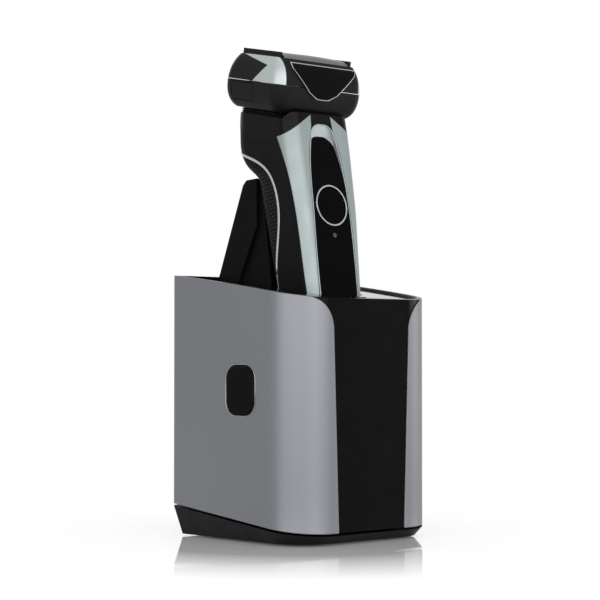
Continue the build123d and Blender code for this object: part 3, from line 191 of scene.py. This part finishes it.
class Finish:
    """A material with its Principled shader, and short ways to add nodes on Object coordinates."""

    def __init__(self, name, base, roughness, metallic=0.0, specular=0.5):
        self.material = bpy.data.materials.new(name)
        self.material.use_nodes = True
        self.tree = self.material.node_tree
        self.shader = self.tree.nodes["Principled BSDF"]
        self.base = tuple(base)
        self.shader.inputs["Base Color"].default_value = (*base, 1)
        self.shader.inputs["Roughness"].default_value = roughness
        self.shader.inputs["Metallic"].default_value = metallic
        self.shader.inputs["Specular IOR Level"].default_value = specular
        self.place = self.add("ShaderNodeTexCoord").outputs["Object"]

    def add(self, kind, links=None, **settings):
        node = self.tree.nodes.new(kind)
        for key, value in settings.items():
            if hasattr(node, key):
                setattr(node, key, value)
            else:
                node.inputs[key.replace("_", " ").title()].default_value = value
        for socket, source in (links or {}).items():
            if isinstance(source, (int, float)):
                node.inputs[socket].default_value = source
            else:
                self.tree.links.new(source, node.inputs[socket])
        return node

    def feed(self, socket, source):
        self.tree.links.new(source, self.shader.inputs[socket])

    def math(self, operation, first, second=0.0):
        return self.add("ShaderNodeMath", {0: first, 1: second}, operation=operation).outputs[0]

    def stretched(self, scale):
        node = self.add("ShaderNodeMapping", {"Vector": self.place})
        node.inputs["Scale"].default_value = scale
        return node.outputs[0]

    def noise(self, scale, detail=2.0, vector=None):
        return self.add(
            "ShaderNodeTexNoise", {"Vector": vector or self.place}, scale=scale, detail=detail
        ).outputs["Fac"]

    def spread(self, source, low, high, start=0.3, stop=0.7):
        node = self.add("ShaderNodeMapRange", {"Value": source})
        for socket, value in zip(("From Min", "From Max", "To Min", "To Max"), (start, stop, low, high)):
            node.inputs[socket].default_value = value
        return node.outputs[0]

    def tint(self, mask, low, high):
        """Base colour between two brightnesses of the finish, driven by a mask from 0 to 1."""
        node = self.add("ShaderNodeMix", data_type="RGBA")
        node.inputs[6].default_value = (*[min(channel * low, 1) for channel in self.base], 1)
        node.inputs[7].default_value = (*[min(channel * high, 1) for channel in self.base], 1)
        self.tree.links.new(mask, node.inputs[0])
        self.feed("Base Color", node.outputs[2])

    def bump(self, height, strength, distance, edge=0.0):
        links = {"Height": height}
        if edge:
            links["Normal"] = self.add("ShaderNodeBevel", samples=6, radius=edge).outputs[0]
        node = self.add("ShaderNodeBump", links)
        node.inputs["Strength"].default_value = strength
        node.inputs["Distance"].default_value = distance
        self.feed("Normal", node.outputs[0])


def satin_paint(name, base):
    """Metallic paint: fine flake, a faint vertical drift and softly varied gloss."""
    finish = Finish(name, base, roughness=0.42, metallic=0.9)
    flake = finish.noise(scale=9000.0, detail=1.0)
    drift = finish.noise(scale=1.0, vector=finish.stretched((14, 14, 5)))
    flake_share = finish.math("MULTIPLY", flake, 0.6)
    drift_share = finish.math("MULTIPLY", drift, 0.4)
    finish.tint(finish.math("ADD", flake_share, drift_share), low=0.86, high=1.14)
    finish.feed("Roughness", finish.spread(drift, low=0.38, high=0.46))
    finish.bump(flake, strength=0.05, distance=0.00003, edge=0.0008)
    return finish.material


def gloss_moulding(name, base, gleam=0.05, roughness=(0.09, 0.19)):
    """Polished black plastic with a slight orange peel and faint wipe marks."""
    finish = Finish(name, base, roughness=0.12, specular=gleam)
    wipe = finish.noise(scale=60.0, detail=4.0)
    finish.feed("Roughness", finish.spread(wipe, *roughness))
    finish.tint(wipe, low=0.8, high=1.25)
    finish.bump(finish.noise(scale=700.0), strength=0.04, distance=0.0001, edge=0.0003)
    return finish.material


def grained_moulding(name, base, gleam=0.06, grain=2600.0):
    """Spark-eroded plastic: a fine even grain that breaks up the gloss."""
    finish = Finish(name, base, roughness=0.5, specular=gleam)
    spark = finish.add("ShaderNodeTexVoronoi", {"Vector": finish.place}, scale=grain).outputs["Distance"]
    cloud = finish.noise(scale=90.0, detail=3.0)
    finish.feed("Roughness", finish.spread(cloud, low=0.42, high=0.56))
    finish.tint(cloud, low=0.8, high=1.3)
    finish.bump(spark, strength=0.25, distance=0.00012, edge=0.0003)
    return finish.material


def soft_rubber(name, base, roughness=(0.55, 0.78), gleam=0.07):
    """Dull rubber with a powdery bloom."""
    finish = Finish(name, base, roughness=0.65, specular=gleam)
    bloom = finish.noise(scale=220.0, detail=5.0)
    finish.feed("Roughness", finish.spread(bloom, *roughness))
    finish.tint(bloom, low=0.7, high=1.6)
    finish.bump(finish.noise(scale=3500.0), strength=0.2, distance=0.0001, edge=0.0003)
    return finish.material


def silver_lacquer(name, base):
    """Lacquered metallic silver with a close flake."""
    finish = Finish(name, base, roughness=0.44, metallic=0.6)
    flake = finish.noise(scale=9000.0, detail=1.0)
    finish.tint(flake, low=0.93, high=1.07)
    haze = finish.noise(scale=90.0, detail=3.0)
    finish.feed("Roughness", finish.spread(haze, low=0.4, high=0.5))
    finish.bump(flake, strength=0.02, distance=0.00002, edge=0.0004)
    return finish.material


def plated(name, base):
    """Bright plating with hairline handling marks."""
    finish = Finish(name, base, roughness=0.1, metallic=1.0)
    hair = finish.noise(scale=900.0, detail=3.0, vector=finish.stretched((1, 6, 1)))
    finish.feed("Roughness", finish.spread(hair, low=0.06, high=0.16))
    finish.tint(hair, low=0.94, high=1.05)
    finish.bump(hair, strength=0.02, distance=0.00005, edge=0.0002)
    return finish.material


def perforated_foil(name, base, pitch=0.0126, axis_height=0.0287, arch_radius=0.0057):
    """Thin steel with rows of fine holes laid out round each foil's arch; the holes are painted dark, as
    painted shade inside each hole.
    """
    finish = Finish(name, base, roughness=0.24, metallic=1.0)
    turned = finish.add("ShaderNodeMapping", {"Vector": finish.place}, vector_type="TEXTURE")
    turned.inputs["Location"].default_value = head_frame.translation
    turned.inputs["Rotation"].default_value = (head_tilt, 0, 0)
    across = finish.add("ShaderNodeSeparateXYZ", {0: turned.outputs[0]}).outputs
    wrap = {0: across["Y"], 1: pitch / 2, 2: -pitch / 2}
    row = finish.add("ShaderNodeMath", wrap, operation="WRAP").outputs[0]
    rise = finish.math("SUBTRACT", across["Z"], axis_height)
    arc = finish.math("MULTIPLY", finish.math("ARCTAN2", row, rise), arch_radius)
    sheet = finish.add("ShaderNodeCombineXYZ", {0: across["X"], 1: arc}).outputs[0]
    skew = finish.add("ShaderNodeMapping", {"Vector": sheet})
    skew.inputs["Rotation"].default_value = (0, 0, math.radians(30))
    cell = finish.add(
        "ShaderNodeTexVoronoi", {"Vector": skew.outputs[0]}, voronoi_dimensions="2D", scale=900.0
    )
    cell.inputs["Randomness"].default_value = 0.0
    hole_and_shade = finish.spread(cell.outputs["Distance"], low=0.0, high=1.0, start=0.22, stop=0.32)
    # Painted shade: each hole is darkened to a fifth of the foil's colour, for the shade inside it
    finish.tint(hole_and_shade, low=0.2, high=1.0)
    smear = finish.noise(scale=400.0, detail=3.0)
    finish.feed("Roughness", finish.spread(smear, low=0.3, high=0.42))
    finish.bump(hole_and_shade, strength=0.2, distance=0.00004)
    return finish.material


def ground_steel(name, base, lay=(20, 1400, 1400)):
    """Ground or drawn steel with lines along one way."""
    finish = Finish(name, base, roughness=0.3, metallic=1.0)
    lines = finish.noise(scale=1.0, detail=3.0, vector=finish.stretched(lay))
    finish.tint(lines, low=0.82, high=1.12)
    finish.feed("Roughness", finish.spread(lines, low=0.24, high=0.4))
    finish.bump(lines, strength=0.12, distance=0.00004, edge=0.0001)
    return finish.material


def circuit_board(name, base):
    """Solder mask with faint traces."""
    finish = Finish(name, base, roughness=0.35)
    trace = finish.add("ShaderNodeTexBrick", {"Vector": finish.place}, scale=260.0).outputs["Fac"]
    finish.tint(trace, low=0.7, high=1.8)
    finish.bump(trace, strength=0.3, distance=0.00005)
    return finish.material


def laminated(name, base):
    """Stacked iron sheets."""
    finish = Finish(name, base, roughness=0.5, metallic=0.7)
    wave = finish.add("ShaderNodeTexWave", {"Vector": finish.place}, scale=160.0, bands_direction="Y")
    sheets = wave.outputs["Fac"]
    finish.tint(sheets, low=0.6, high=1.3)
    finish.bump(sheets, strength=0.4, distance=0.0001)
    return finish.material


def clear_lens(name, base):
    """Frosted lamp lens."""
    finish = Finish(name, base, roughness=0.2)
    finish.shader.inputs["Transmission Weight"].default_value = 0.35
    finish.tint(finish.noise(scale=1500.0), low=0.9, high=1.1)
    finish.bump(finish.noise(scale=2500.0), strength=0.1, distance=0.00005)
    return finish.material


def walk_round_grip(span, half, back, corner):
    """Place and inward direction on the grip's section, at a distance from the middle of its back."""
    side = math.copysign(1.0, span)
    run = abs(span)
    flat = half - corner
    bend = corner * math.pi / 2
    if run < flat:
        return Vector((side * run, back, 0)), Vector((0, -1, 0))
    if run < flat + bend:
        turn = (run - flat) / corner
        out = Vector((side * math.sin(turn), math.cos(turn), 0))
        return Vector((side * flat, back - corner, 0)) + out * corner, -out
    return Vector((side * half, back - corner - (run - flat - bend), 0)), Vector((-side, 0, 0))


def rounded_loop(mesh, half_width, half_height, radius, place):
    """Edges of a rectangle with rounded corners, set in its place."""
    size = Matrix.Diagonal((half_width, half_height, 1, 1))
    corners = bmesh.ops.create_grid(mesh, x_segments=1, y_segments=1, size=1.0, matrix=size)["verts"]
    points = bmesh.ops.bevel(
        mesh, geom=corners, affect="VERTICES", offset=radius, segments=8, profile=0.5, material=-1
    )["verts"]
    bmesh.ops.transform(mesh, matrix=place, verts=points)
    face = points[0].link_faces[0]
    edges = list(face.edges)
    bmesh.ops.delete(mesh, geom=[face], context="FACES_ONLY")
    return edges


def closed_ring(mesh, outlines):
    """Walls between neighbouring rounded outlines, with the last one joined to the first."""
    for near, far in zip(outlines, outlines[1:] + outlines[:1]):
        bmesh.ops.bridge_loops(mesh, edges=rounded_loop(mesh, *near) + rounded_loop(mesh, *far))
    bmesh.ops.remove_doubles(mesh, verts=mesh.verts, dist=weld)
    bmesh.ops.recalc_face_normals(mesh, faces=mesh.faces)
    for face in mesh.faces:
        face.smooth = True


def dress(finish, *names):
    """Gives a finish to the named nodes of the frame."""
    for name in names:
        mesh = frame["nodes"][name].data
        mesh.materials.clear()
        mesh.materials.append(finish)


def piece_from(mesh, name, finish):
    """Turns a bmesh into a named piece with a finish."""
    data = bpy.data.meshes.new(name)
    mesh.to_mesh(data)
    mesh.free()
    data.materials.clear()
    data.materials.append(finish)
    piece = bpy.data.objects.new(name, data)
    bpy.context.scene.collection.objects.link(piece)
    return piece


class SHAVER_OT_dock(bpy.types.Operator):
    """Finishes the dock's panels, tray, deck and column"""

    bl_idname = "shaver.dock"
    bl_label = "Dock finishes"

    def execute(self, context):
        paint = context.scene.shaver_finish
        dress(satin_paint("panel_paint", paint.panel_silver), "left_side_panel", "right_side_panel")
        dress(gloss_moulding("dock_gloss", paint.gloss_black), "front_panel")
        dress(
            gloss_moulding("deck_gloss", paint.gloss_black, gleam=1.0, roughness=(0.02, 0.06)),
            "top_deck",
        )
        dress(
            gloss_moulding("button_gloss", paint.gloss_black, gleam=0.04),
            "left_release_button", "right_release_button", "start_button",
        )
        dress(grained_moulding("dock_grain", paint.satin_black), "rear_panel", "cradle", "power_inlet")
        dress(grained_moulding("tray_grain", paint.satin_black, gleam=0.1), "cleaning_tray")
        dress(grained_moulding("column_grain", paint.satin_black, gleam=0.03), "charging_column")
        dress(soft_rubber("foot_rubber", paint.rubber_black), "tray_feet")
        return {"FINISHED"}


class SHAVER_OT_button_rims(bpy.types.Operator):
    """Sets a thin bright rim round each release button; its bright plating is partly a painted highlight,
    for the light edge of the button's bevel
    """

    bl_idname = "shaver.button_rims"
    bl_label = "Release button rims"
    slope_share = 0.2  # sloping part of the rim's width, on either edge

    def execute(self, context):
        rim = context.scene.shaver_rim
        slope = self.slope_share * rim.lip
        profile = (
            (0, rim.play),
            (rim.proud, rim.play + slope),
            (rim.proud, rim.play + rim.lip - slope),
            (0, rim.play + rim.lip),
        )
        mesh = bmesh.new()
        for side, hand in ((-1, "left"), (1, "right")):
            low, high = [Vector(corner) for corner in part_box(hand + "_release_button")]
            wall = side * max(abs(corner[0]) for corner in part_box(hand + "_side_panel"))
            middle = (low + high) / 2
            upright = Vector((side, 0, 0)).to_track_quat("Z", "Y").to_matrix().to_4x4()
            outlines = []
            for out, grow in profile:
                place = Matrix.Translation((wall + side * out, middle.y, middle.z)) @ upright
                outlines.append((rim.width / 2 + grow, rim.height / 2 + grow, rim.radius + grow, place))
            closed_ring(mesh, outlines)
        # Bright plating of the rims, partly a painted highlight on the buttons' edges
        finish = plated("rim_highlight_plating", context.scene.shaver_finish.rim_highlight_silver)
        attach(piece_from(mesh, "button_rims", finish), "dock")
        return {"FINISHED"}


class SHAVER_OT_handle(bpy.types.Operator):
    """Finishes the handle's shells, bands, grip and controls"""

    bl_idname = "shaver.handle"
    bl_label = "Handle finishes"

    def execute(self, context):
        paint = context.scene.shaver_finish
        dress(gloss_moulding("handle_gloss", paint.gloss_black, gleam=0.02), "front_inlay", "power_button")
        dress(
            gloss_moulding("collar_gloss", paint.gloss_black, gleam=0.08, roughness=(0.12, 0.22)),
            "neck_collar",
        )
        dress(
            grained_moulding("handle_grain", paint.satin_black),
            "front_shell", "rear_shell", "bottom_cap",
        )
        # Lighter grey on the trimmer tab, partly painted sheen
        dress(grained_moulding("tab_sheen_grain", paint.tab_sheen_grey), "trimmer_housing")
        dress(silver_lacquer("band_lacquer", paint.band_silver), "left_band", "right_band")
        dress(silver_lacquer("arch_lacquer", paint.pale_silver), "arch_frame")
        dress(plated("handle_plating", paint.plating), "grip_line", "button_ring")
        dress(soft_rubber("grip_rubber", paint.rubber_black), "rear_grip")
        dress(ground_steel("trimmer_steel", paint.steel), "trimmer_comb", "trimmer_blade")
        dress(clear_lens("lamp_lens", paint.lamp_clear), "indicator_lamp")
        return {"FINISHED"}


class SHAVER_OT_grip_dots(bpy.types.Operator):
    """Raises staggered rows of small domes on the rubber grip"""

    bl_idname = "shaver.grip_dots"
    bl_label = "Grip dots"

    # Rows on the handle, the section they go round, and the bare edge left at the rubber's border
    lowest_row = 0.0095
    rows_height = 0.084
    row_share = 0.87  # of the pitch along a row
    half_row = 23  # dots on either side of the back's middle
    section = {"half": 0.029, "back": 0.034, "corner": 0.016}
    margin = ((0.0016, 0), (-0.0016, 0), (0, 0.0014), (0, -0.0014))
    stand_off = 0.02  # outside the section, where a ray towards the rubber starts
    ray_length = 0.06
    steepest = -0.5  # cosine between ray and skin

    def execute(self, context):
        grip = context.scene.shaver_grip
        rubber = frame["nodes"]["rear_grip"].data
        skin = BVHTree.FromPolygons(
            [vertex.co for vertex in rubber.vertices], [face.vertices for face in rubber.polygons]
        )
        mesh = bmesh.new()
        dome = bmesh.new()
        bmesh.ops.create_uvsphere(dome, u_segments=8, v_segments=4, radius=1.0)
        stamp = bpy.data.meshes.new("dot_stamp")
        row_pitch = grip.dot_pitch * self.row_share
        for row in range(int(self.rows_height / row_pitch)):
            height = self.lowest_row + row * row_pitch
            for step in range(-self.half_row, self.half_row + 1):
                span = (step + 0.5 * (row % 2)) * grip.dot_pitch
                spot = self.touch(skin, span, height)
                if spot and all(self.touch(skin, span + dx, height + dz) for dx, dz in self.margin):
                    placed = dome.copy()
                    placed.transform(self.stand(spot, grip))
                    placed.to_mesh(stamp)
                    placed.free()
                    mesh.from_mesh(stamp)
        dome.free()
        bpy.data.meshes.remove(stamp)
        for face in mesh.faces:
            face.smooth = True
        rubber_black = context.scene.shaver_finish.rubber_black
        finish = soft_rubber("dot_rubber", rubber_black, roughness=(0.2, 0.35), gleam=0.2)
        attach(piece_from(mesh, "grip_dots", finish), "shaver")
        return {"FINISHED"}

    def touch(self, skin, span, height):
        """Place and normal of the rubber at a span round the section and a height, if it is there."""
        place, inward = walk_round_grip(span, **self.section)
        start = handle_frame @ (place + Vector((0, 0, height)) - inward * self.stand_off)
        turned = handle_frame.to_3x3() @ inward
        spot, normal = skin.ray_cast(start, turned, self.ray_length)[:2]
        if spot is None or normal.dot(turned) > self.steepest:
            return None
        return spot, normal

    def stand(self, spot, grip):
        """Where a unit sphere becomes a low dome on the skin."""
        place, normal = spot
        turn = normal.to_track_quat("Z", "Y").to_matrix().to_4x4()
        shape = Matrix.Diagonal((grip.dot_radius, grip.dot_radius, grip.dot_height, 1))
        return Matrix.Translation(place) @ turn @ shape


class SHAVER_OT_neck_boot(bpy.types.Operator):
    """Makes the folded boot of the neck, between handle and head"""

    bl_idname = "shaver.neck_boot"
    bl_label = "Neck boot"
    steps_per_fold = 6

    def execute(self, context):
        soft = context.scene.shaver_soft
        mesh = bmesh.new()
        steps = self.steps_per_fold * soft.folds
        profile = []
        for step in range(steps + 1):
            share = step / steps
            swell = soft.fold_depth * (1 - math.cos(2 * math.pi * soft.folds * share)) / 2
            profile.append((soft.boot_low + share * (soft.boot_high - soft.boot_low), swell))
        profile += [(soft.boot_high, -soft.boot_wall), (soft.boot_low, -soft.boot_wall)]
        outlines = []
        for height, swell in profile:
            place = head_frame @ Matrix.Translation((0, soft.boot_shift, height))
            outlines.append((
                soft.boot_width + swell, soft.boot_depth + swell, soft.boot_radius + swell, place
            ))
        closed_ring(mesh, outlines)
        finish = soft_rubber("boot_rubber", context.scene.shaver_finish.rubber_black)
        piece = piece_from(mesh, "boot_folds", finish)
        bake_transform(piece)
        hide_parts("neck_boot")
        return {"FINISHED"}


class SHAVER_OT_springs(bpy.types.Operator):
    """Copies the leaf springs behind the release buttons into merged pieces on the dock"""

    bl_idname = "shaver.springs"
    bl_label = "Release springs"

    def execute(self, context):
        finish = ground_steel("leaf_steel", context.scene.shaver_finish.steel, lay=(40, 1600, 1600))
        for hand in ("left", "right"):
            node = hand + "_button_spring"
            mesh = bmesh.new()
            mesh.from_mesh(frame["nodes"][node].data)
            bmesh.ops.remove_doubles(mesh, verts=mesh.verts, dist=weld)
            piece = piece_from(mesh, hand + "_leaf", finish)
            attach(piece, "dock")
            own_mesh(piece)
            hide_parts(node)
        return {"FINISHED"}


class SHAVER_OT_head(bpy.types.Operator):
    """Finishes the rocking head, foil cassette and cutters"""

    bl_idname = "shaver.head"
    bl_label = "Head finishes"

    def execute(self, context):
        paint = context.scene.shaver_finish
        dress(
            grained_moulding("head_grain", paint.satin_black, gleam=0.11),
            "head_base", "foil_frame", "left_foil_button", "right_foil_button",
        )
        dress(gloss_moulding("window_gloss", paint.gloss_black), "front_window")
        dress(silver_lacquer("cheek_lacquer", paint.pale_silver), "left_cheek", "right_cheek")
        dress(plated("head_plating", paint.plating), "front_trim")
        # The foils' darkened grey and their dark holes are painted shade
        dress(perforated_foil("foil_steel", paint.foil_grey_and_hole_shade), "side_foils", "centre_foil")
        dress(ground_steel("blade_steel", paint.steel), "side_blades", "centre_blade")
        return {"FINISHED"}


class SHAVER_OT_inner(bpy.types.Operator):
    """Finishes the pieces inside the dock and the handle"""

    bl_idname = "shaver.inner"
    bl_label = "Inner finishes"

    def execute(self, context):
        paint = context.scene.shaver_finish
        dress(
            grained_moulding("inner_grain", paint.inner_grey, grain=1800.0),
            "dock_chassis", "pump_housing", "inner_frame", "blade_carrier",
        )
        dress(circuit_board("board_mask", paint.board_green), "dock_circuit_board", "shaver_circuit_board")
        dress(laminated("core_iron", paint.core_iron), "transformer")
        dress(ground_steel("motor_can", paint.motor_steel, lay=(900, 900, 30)), "pump_motor", "drive_motor")
        dress(
            ground_steel("pin_steel", paint.steel, lay=(40, 1600, 1600)),
            "trimmer_pin", "pivot_pin", "pivot_post",
        )
        dress(
            ground_steel("contact_metal", paint.contact_gold, lay=(1200, 1200, 60)),
            "column_contacts", "charge_plates",
        )
        dress(silver_lacquer("cell_sleeve", paint.cell_blue), "battery")
        return {"FINISHED"}


class SHAVER_OT_stage(bpy.types.Operator):
    """Sets up the pale floor, soft lights, sky and camera"""

    bl_idname = "shaver.stage"
    bl_label = "Studio"

    # Floor, and how far from the middle it fades to white
    floor_half = 4.0
    fade_start = 0.11
    fade_stop = 0.22
    lamp_target = Vector((0, 0, 0.14))

    # Camera round the dock's middle
    heading = math.radians(-42.5)
    pitch = math.radians(-1.53)
    reach = 1.14
    eye_height = 0.1106
    eye_shift = 0.0032  # to the left
    sensor = 36.0

    def execute(self, context):
        stage = context.scene.shaver_stage
        self.floor(stage)
        self.sky(context.scene, stage)
        self.lamp("key_light", place=(-1.15, -0.8, 0.5), size=(3.2, 1.1), power=stage.key_power)
        self.lamp("front_light", place=(0.12, -1.4, 0.5), size=(1.1, 1.1), power=stage.front_power)
        self.lamp("fill_light", place=(1.2, -0.6, 0.1), size=(0.7, 0.4), power=stage.fill_power)
        self.lamp("top_light", place=(0.0, 0.1, 1.4), size=(1.0, 1.0), power=stage.top_power)
        self.camera(context.scene, stage)
        context.scene.view_settings.view_transform = "Standard"
        return {"FINISHED"}

    def floor(self, stage):
        mesh = bmesh.new()
        bmesh.ops.create_grid(mesh, x_segments=2, y_segments=2, size=self.floor_half)
        data = bpy.data.meshes.new("floor")
        mesh.to_mesh(data)
        mesh.free()
        floor = bpy.data.objects.new("floor", data)
        bpy.context.scene.collection.objects.link(floor)
        finish = Finish("pale_floor", stage.floor_colour, roughness=0.06, metallic=0.4)
        finish.shader.inputs["IOR"].default_value = 2.0
        path = finish.add("ShaderNodeLightPath").outputs
        seen = finish.math("MAXIMUM", path["Is Camera Ray"], path["Is Glossy Ray"])
        seen = finish.math("MAXIMUM", seen, path["Is Transmission Ray"])
        far = finish.add("ShaderNodeVectorMath", {0: finish.place}, operation="LENGTH").outputs["Value"]
        fade = finish.spread(far, low=0.05, high=1.0, start=self.fade_start, stop=self.fade_stop)
        glow = finish.add("ShaderNodeEmission")
        blend = finish.add("ShaderNodeMixShader")
        finish.tree.links.new(finish.math("MULTIPLY", seen, fade), blend.inputs[0])
        finish.tree.links.new(finish.shader.outputs[0], blend.inputs[1])
        finish.tree.links.new(glow.outputs[0], blend.inputs[2])
        finish.tree.links.new(blend.outputs[0], finish.tree.nodes["Material Output"].inputs[0])
        data.materials.append(finish.material)

    def sky(self, scene, stage):
        world = bpy.data.worlds.new("studio_sky")
        scene.world = world
        world.use_nodes = True
        tree = world.node_tree
        even = tree.nodes["Background"]
        even.inputs["Color"].default_value = (1, 1, 1, 1)
        even.inputs["Strength"].default_value = stage.sky
        shown = tree.nodes.new("ShaderNodeBackground")
        shown.inputs["Color"].default_value = (1, 1, 1, 1)
        shown.inputs["Strength"].default_value = 1.0
        path = tree.nodes.new("ShaderNodeLightPath")
        seen = path.outputs["Is Camera Ray"]
        for ray in ("Is Glossy Ray", "Is Transmission Ray"):
            either = tree.nodes.new("ShaderNodeMath")
            either.operation = "MAXIMUM"
            tree.links.new(seen, either.inputs[0])
            tree.links.new(path.outputs[ray], either.inputs[1])
            seen = either.outputs[0]
        blend = tree.nodes.new("ShaderNodeMixShader")
        tree.links.new(seen, blend.inputs[0])
        tree.links.new(even.outputs[0], blend.inputs[1])
        tree.links.new(shown.outputs[0], blend.inputs[2])
        tree.links.new(blend.outputs[0], tree.nodes["World Output"].inputs[0])

    def lamp(self, name, place, size, power):
        light = bpy.data.lights.new(name, "AREA")
        light.shape = "RECTANGLE"
        light.size, light.size_y = size
        light.energy = power
        lamp = bpy.data.objects.new(name, light)
        lamp.location = place
        lamp.rotation_euler = (self.lamp_target - lamp.location).to_track_quat("-Z", "Y").to_euler()
        bpy.context.scene.collection.objects.link(lamp)

    def camera(self, scene, stage):
        right = Vector((math.cos(self.heading), math.sin(self.heading), 0))
        outward = Vector((math.sin(self.heading), -math.cos(self.heading), 0))
        rise = Vector((0, 0, 1))
        back = outward * math.cos(self.pitch) + rise * math.sin(self.pitch)
        up = back.cross(right)
        eye = outward * self.reach + rise * self.eye_height - right * self.eye_shift
        data = bpy.data.cameras.new("camera")
        data.lens = stage.lens
        data.sensor_width = self.sensor
        data.clip_start = 0.01
        camera = bpy.data.objects.new("camera", data)
        turn = Matrix((right, up, back)).transposed().to_4x4()
        camera.matrix_world = Matrix.Translation(eye) @ turn
        scene.collection.objects.link(camera)
        scene.camera = camera


class SHAVER_PT_panel(bpy.types.Panel):
    """Lists the shaver's pieces and their settings"""

    bl_idname = "SHAVER_PT_panel"
    bl_label = "Foil shaver"
    bl_space_type = "VIEW_3D"
    bl_region_type = "UI"
    bl_category = "Shaver"

    def draw(self, context):
        for operator in operators:
            self.layout.operator(operator.bl_idname)
        scene = context.scene
        groups = (
            scene.shaver_finish, scene.shaver_rim, scene.shaver_grip, scene.shaver_soft, scene.shaver_stage
        )
        for settings in groups:
            box = self.layout.box()
            for key in settings.__annotations__:
                box.prop(settings, key)


operators = (
    SHAVER_OT_dock,
    SHAVER_OT_button_rims,
    SHAVER_OT_handle,
    SHAVER_OT_grip_dots,
    SHAVER_OT_neck_boot,
    SHAVER_OT_springs,
    SHAVER_OT_head,
    SHAVER_OT_inner,
    SHAVER_OT_stage,
)
classes = (
    FinishSettings, RimSettings, GripSettings, SoftSettings, StageSettings, *operators, SHAVER_PT_panel
)


def register():
    for each in classes:
        bpy.utils.register_class(each)
    bpy.types.Scene.shaver_finish = PointerProperty(type=FinishSettings)
    bpy.types.Scene.shaver_rim = PointerProperty(type=RimSettings)
    bpy.types.Scene.shaver_grip = PointerProperty(type=GripSettings)
    bpy.types.Scene.shaver_soft = PointerProperty(type=SoftSettings)
    bpy.types.Scene.shaver_stage = PointerProperty(type=StageSettings)


def unregister():
    del bpy.types.Scene.shaver_stage
    del bpy.types.Scene.shaver_soft
    del bpy.types.Scene.shaver_grip
    del bpy.types.Scene.shaver_rim
    del bpy.types.Scene.shaver_finish
    for each in reversed(classes):
        bpy.utils.unregister_class(each)


def main():
    register()
    bpy.ops.shaver.dock()
    bpy.ops.shaver.button_rims()
    bpy.ops.shaver.handle()
    bpy.ops.shaver.grip_dots()
    bpy.ops.shaver.neck_boot()
    bpy.ops.shaver.springs()
    bpy.ops.shaver.head()
    bpy.ops.shaver.inner()
    bpy.ops.shaver.stage()


if __name__ == "__main__":
    main()
